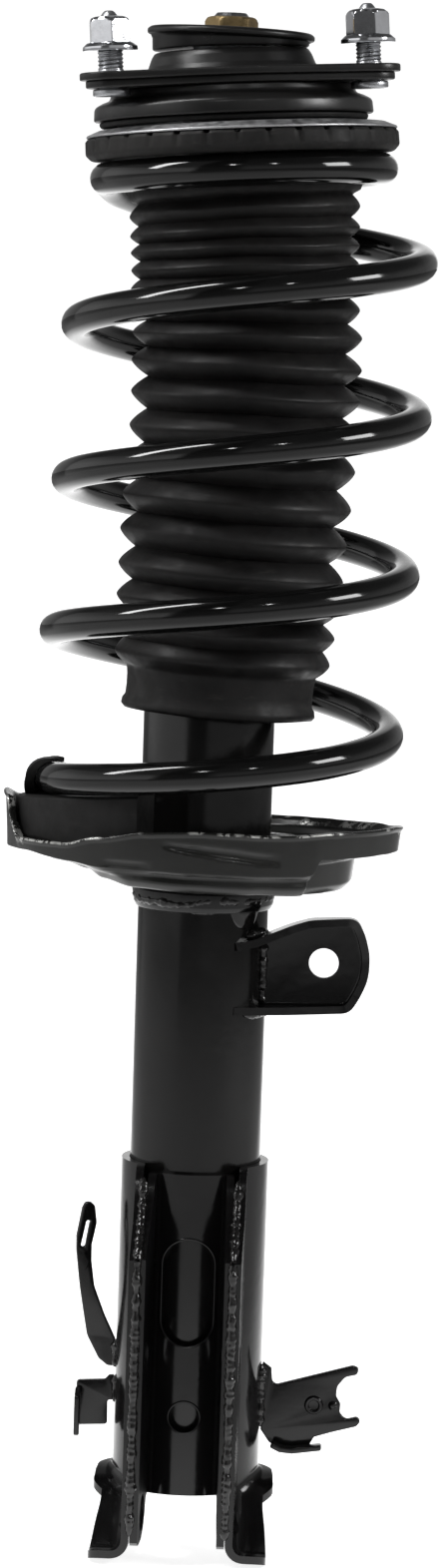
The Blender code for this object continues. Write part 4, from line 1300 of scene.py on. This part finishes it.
arm = plate("wire_arm_fine", arm_outline, -1.4, 1.2, PAINT_BRACKET, holes=[slot_hole], axis="Y", edge=0.6,
            bend=arm_twist)
painted(arm, "wire_arm")
foot_outline = rounded(
    [(-ROOT_X, 32.4, 0.3), (-31.5, 32.4, 1.2), (-31.3, 22.6, 1.2), (-42.6, 22.0, 1.2), (-43.4, 18.9, 0.8),
     (-43.9, 39.9, 1.2), (-32.6, 40.6, 1.5), (-31.2, 42.4, 1.0), (-ROOT_X, 42.5, 0.3)], 1.0, 4)
foot = plate("wire_foot_fine", foot_outline, -1.4, 1.2, PAINT_BRACKET, axis="Y", edge=0.5)
painted(foot, "wire_foot")
lip = plate("wire_foot_lip", rounded([(-8.0, 18.8), (-1.2, 18.8), (-1.2, 38.6), (-8.0, 34.6)], 1.5, 4),
            -44.2, -42.0, PAINT_BRACKET, axis="X", edge=0.5)
painted(lip)
for name, path, r in (
        ("arm_weld", [(-28.7, -3.0, 46.0), (-28.9, -1.8, 51.0), (-28.7, -2.6, 57.0)], 1.7),
        ("foot_weld", [(-28.6, -3.0, 32.0), (-28.9, -1.9, 37.0), (-28.6, -2.8, 42.6)], 1.6),
        ("fork_weld", [(28.7, -3.0, 24.6), (28.9, -2.0, 37.0), (28.7, -2.8, 49.4)], 1.9)):
    painted(weld(name, path, r, 2.4, 0.5))

# ---- floor, light and camera ----


FLOOR_Z, FLOOR_R = -0.0196, 40.0  # metres


def stage():
    """Wide pale floor, brightest on the strip behind the object."""
    bm = bmesh.new()
    bmesh.ops.create_circle(bm, cap_ends=True, segments=96, radius=FLOOR_R)
    bmesh.ops.translate(bm, vec=(0, 0, FLOOR_Z), verts=bm.verts)
    mesh = bpy.data.meshes.new("studio_floor")
    bm.to_mesh(mesh)
    bm.free()
    m = Nodes("studio_white", (0.8, 0.8, 0.8), 0.0, 0.9, Specular_IOR_Level=0.0)
    m.colour(m.mix(m.noise(3, 2), (0.79, 0.79, 0.79), (0.81, 0.81, 0.81)))
    x, y, _ = m.apart(m.where)
    off_line = m.calc("ADD", m.calc("ABSOLUTE", x), m.calc("MULTIPLY_ADD", y, -0.1, 0.0))
    across = m.spread(off_line, 0.12, 0.5, 1.0, 0.0)
    behind = m.spread(y, -0.35, 0.1, 0.0, 1.0)
    m.link(m.times(m.times(across, behind), 1.25), m.shader.inputs["Emission Strength"])
    m.set(**{"Emission Color": (1, 1, 1, 1)})
    mesh.materials.append(m.mat)
    floor = bpy.data.objects.new("studio_floor", mesh)
    bpy.context.collection.objects.link(floor)


stage()


def area(name, azimuth, elevation, distance, size, radiance):
    """Softbox aimed at the object; azimuth 0 is the camera's side, positive to the right."""
    light = bpy.data.lights.new(name, "AREA")
    light.shape = "RECTANGLE"
    light.size, light.size_y = size
    light.energy = radiance * pi * size[0] * size[1]
    obj = bpy.data.objects.new(name, light)
    bpy.context.collection.objects.link(obj)
    a, e = radians(azimuth), radians(elevation)
    target = Vector((0.01, 0, 0.38))
    obj.location = target + Vector((sin(a) * cos(e), -cos(a) * cos(e), sin(e))) * distance
    obj.rotation_euler = (target - obj.location).to_track_quat("-Z", "Y").to_euler()
    return obj


area("softbox_left", -74, 50, 1.7, (0.24, 1.4), 19)
area("softbox_right", 76, 23, 1.7, (0.62, 0.5), 13)
area("lamp_one", -9, 36, 2.2, (0.14, 0.08), 60)
area("lamp_two", 24, 36, 2.2, (0.12, 0.07), 60)
panel = area("panel_left", -90, 0, 1.2, (2.6, 1.2), 0.2)
panel.location, panel.rotation_euler = (-1.2, -0.3, 0.6), (pi / 2, 0, -pi / 2)


def make_world():
    """Grey room: light to the left and right, dark by the camera, white behind the object."""
    world = bpy.data.worlds.new("studio_world")
    world.use_nodes = True
    sky = Graph(world.node_tree)
    back = sky.tree.nodes["Background"]
    x, y, z = sky.apart(sky.new("ShaderNodeTexCoord").outputs["Generated"])
    azimuth = sky.calc("ARCTAN2", x, sky.times(y, -1.0))
    turn = sky.calc("MULTIPLY_ADD", azimuth, 1 / (2 * pi), 0.5)
    round_about = sky.ramp(turn, [
        (0.0, 1.0), (0.024, 1.0), (0.04, 0.25), (0.13, 0.25), (0.2, 0.65), (0.395, 0.65), (0.41, 0.07), (0.49, 0.07),
        (0.51, 0.3), (0.8, 0.35), (0.88, 0.22), (0.96, 0.25), (0.976, 1.0), (1.0, 1.0)])
    height = sky.ramp(z, [(0.0, 1.0), (0.22, 1.0), (0.5, 0.3), (1.0, 0.16)])
    sky.link(sky.mix(1.0, round_about, height, "MULTIPLY"), back.inputs["Color"])
    back.inputs["Strength"].default_value = 1.1
    bpy.context.scene.world = world


make_world()

PITCH, TURN, ROLL, DISTANCE = radians(5.2), radians(2.2), radians(1.86), 2.0
right = Vector((cos(TURN), sin(TURN), 0))
ahead = Vector((-sin(TURN) * cos(PITCH), cos(TURN) * cos(PITCH), -sin(PITCH)))
upward = right.cross(ahead)
pose = Matrix((right, upward, -ahead)).transposed().to_4x4()
pose.translation = right * 0.0058 + Vector((0, 0, 0.2774)) - ahead * DISTANCE
camera_data = bpy.data.cameras.new("camera")
camera_data.sensor_width = 36.0
camera_data.lens = 117.8
camera_data.clip_end = 20
camera = bpy.data.objects.new("camera", camera_data)
bpy.context.collection.objects.link(camera)
camera.matrix_world = pose @ Matrix.Rotation(ROLL, 4, "Z")
bpy.context.scene.camera = camera
bpy.context.scene.view_settings.view_transform = "Standard"
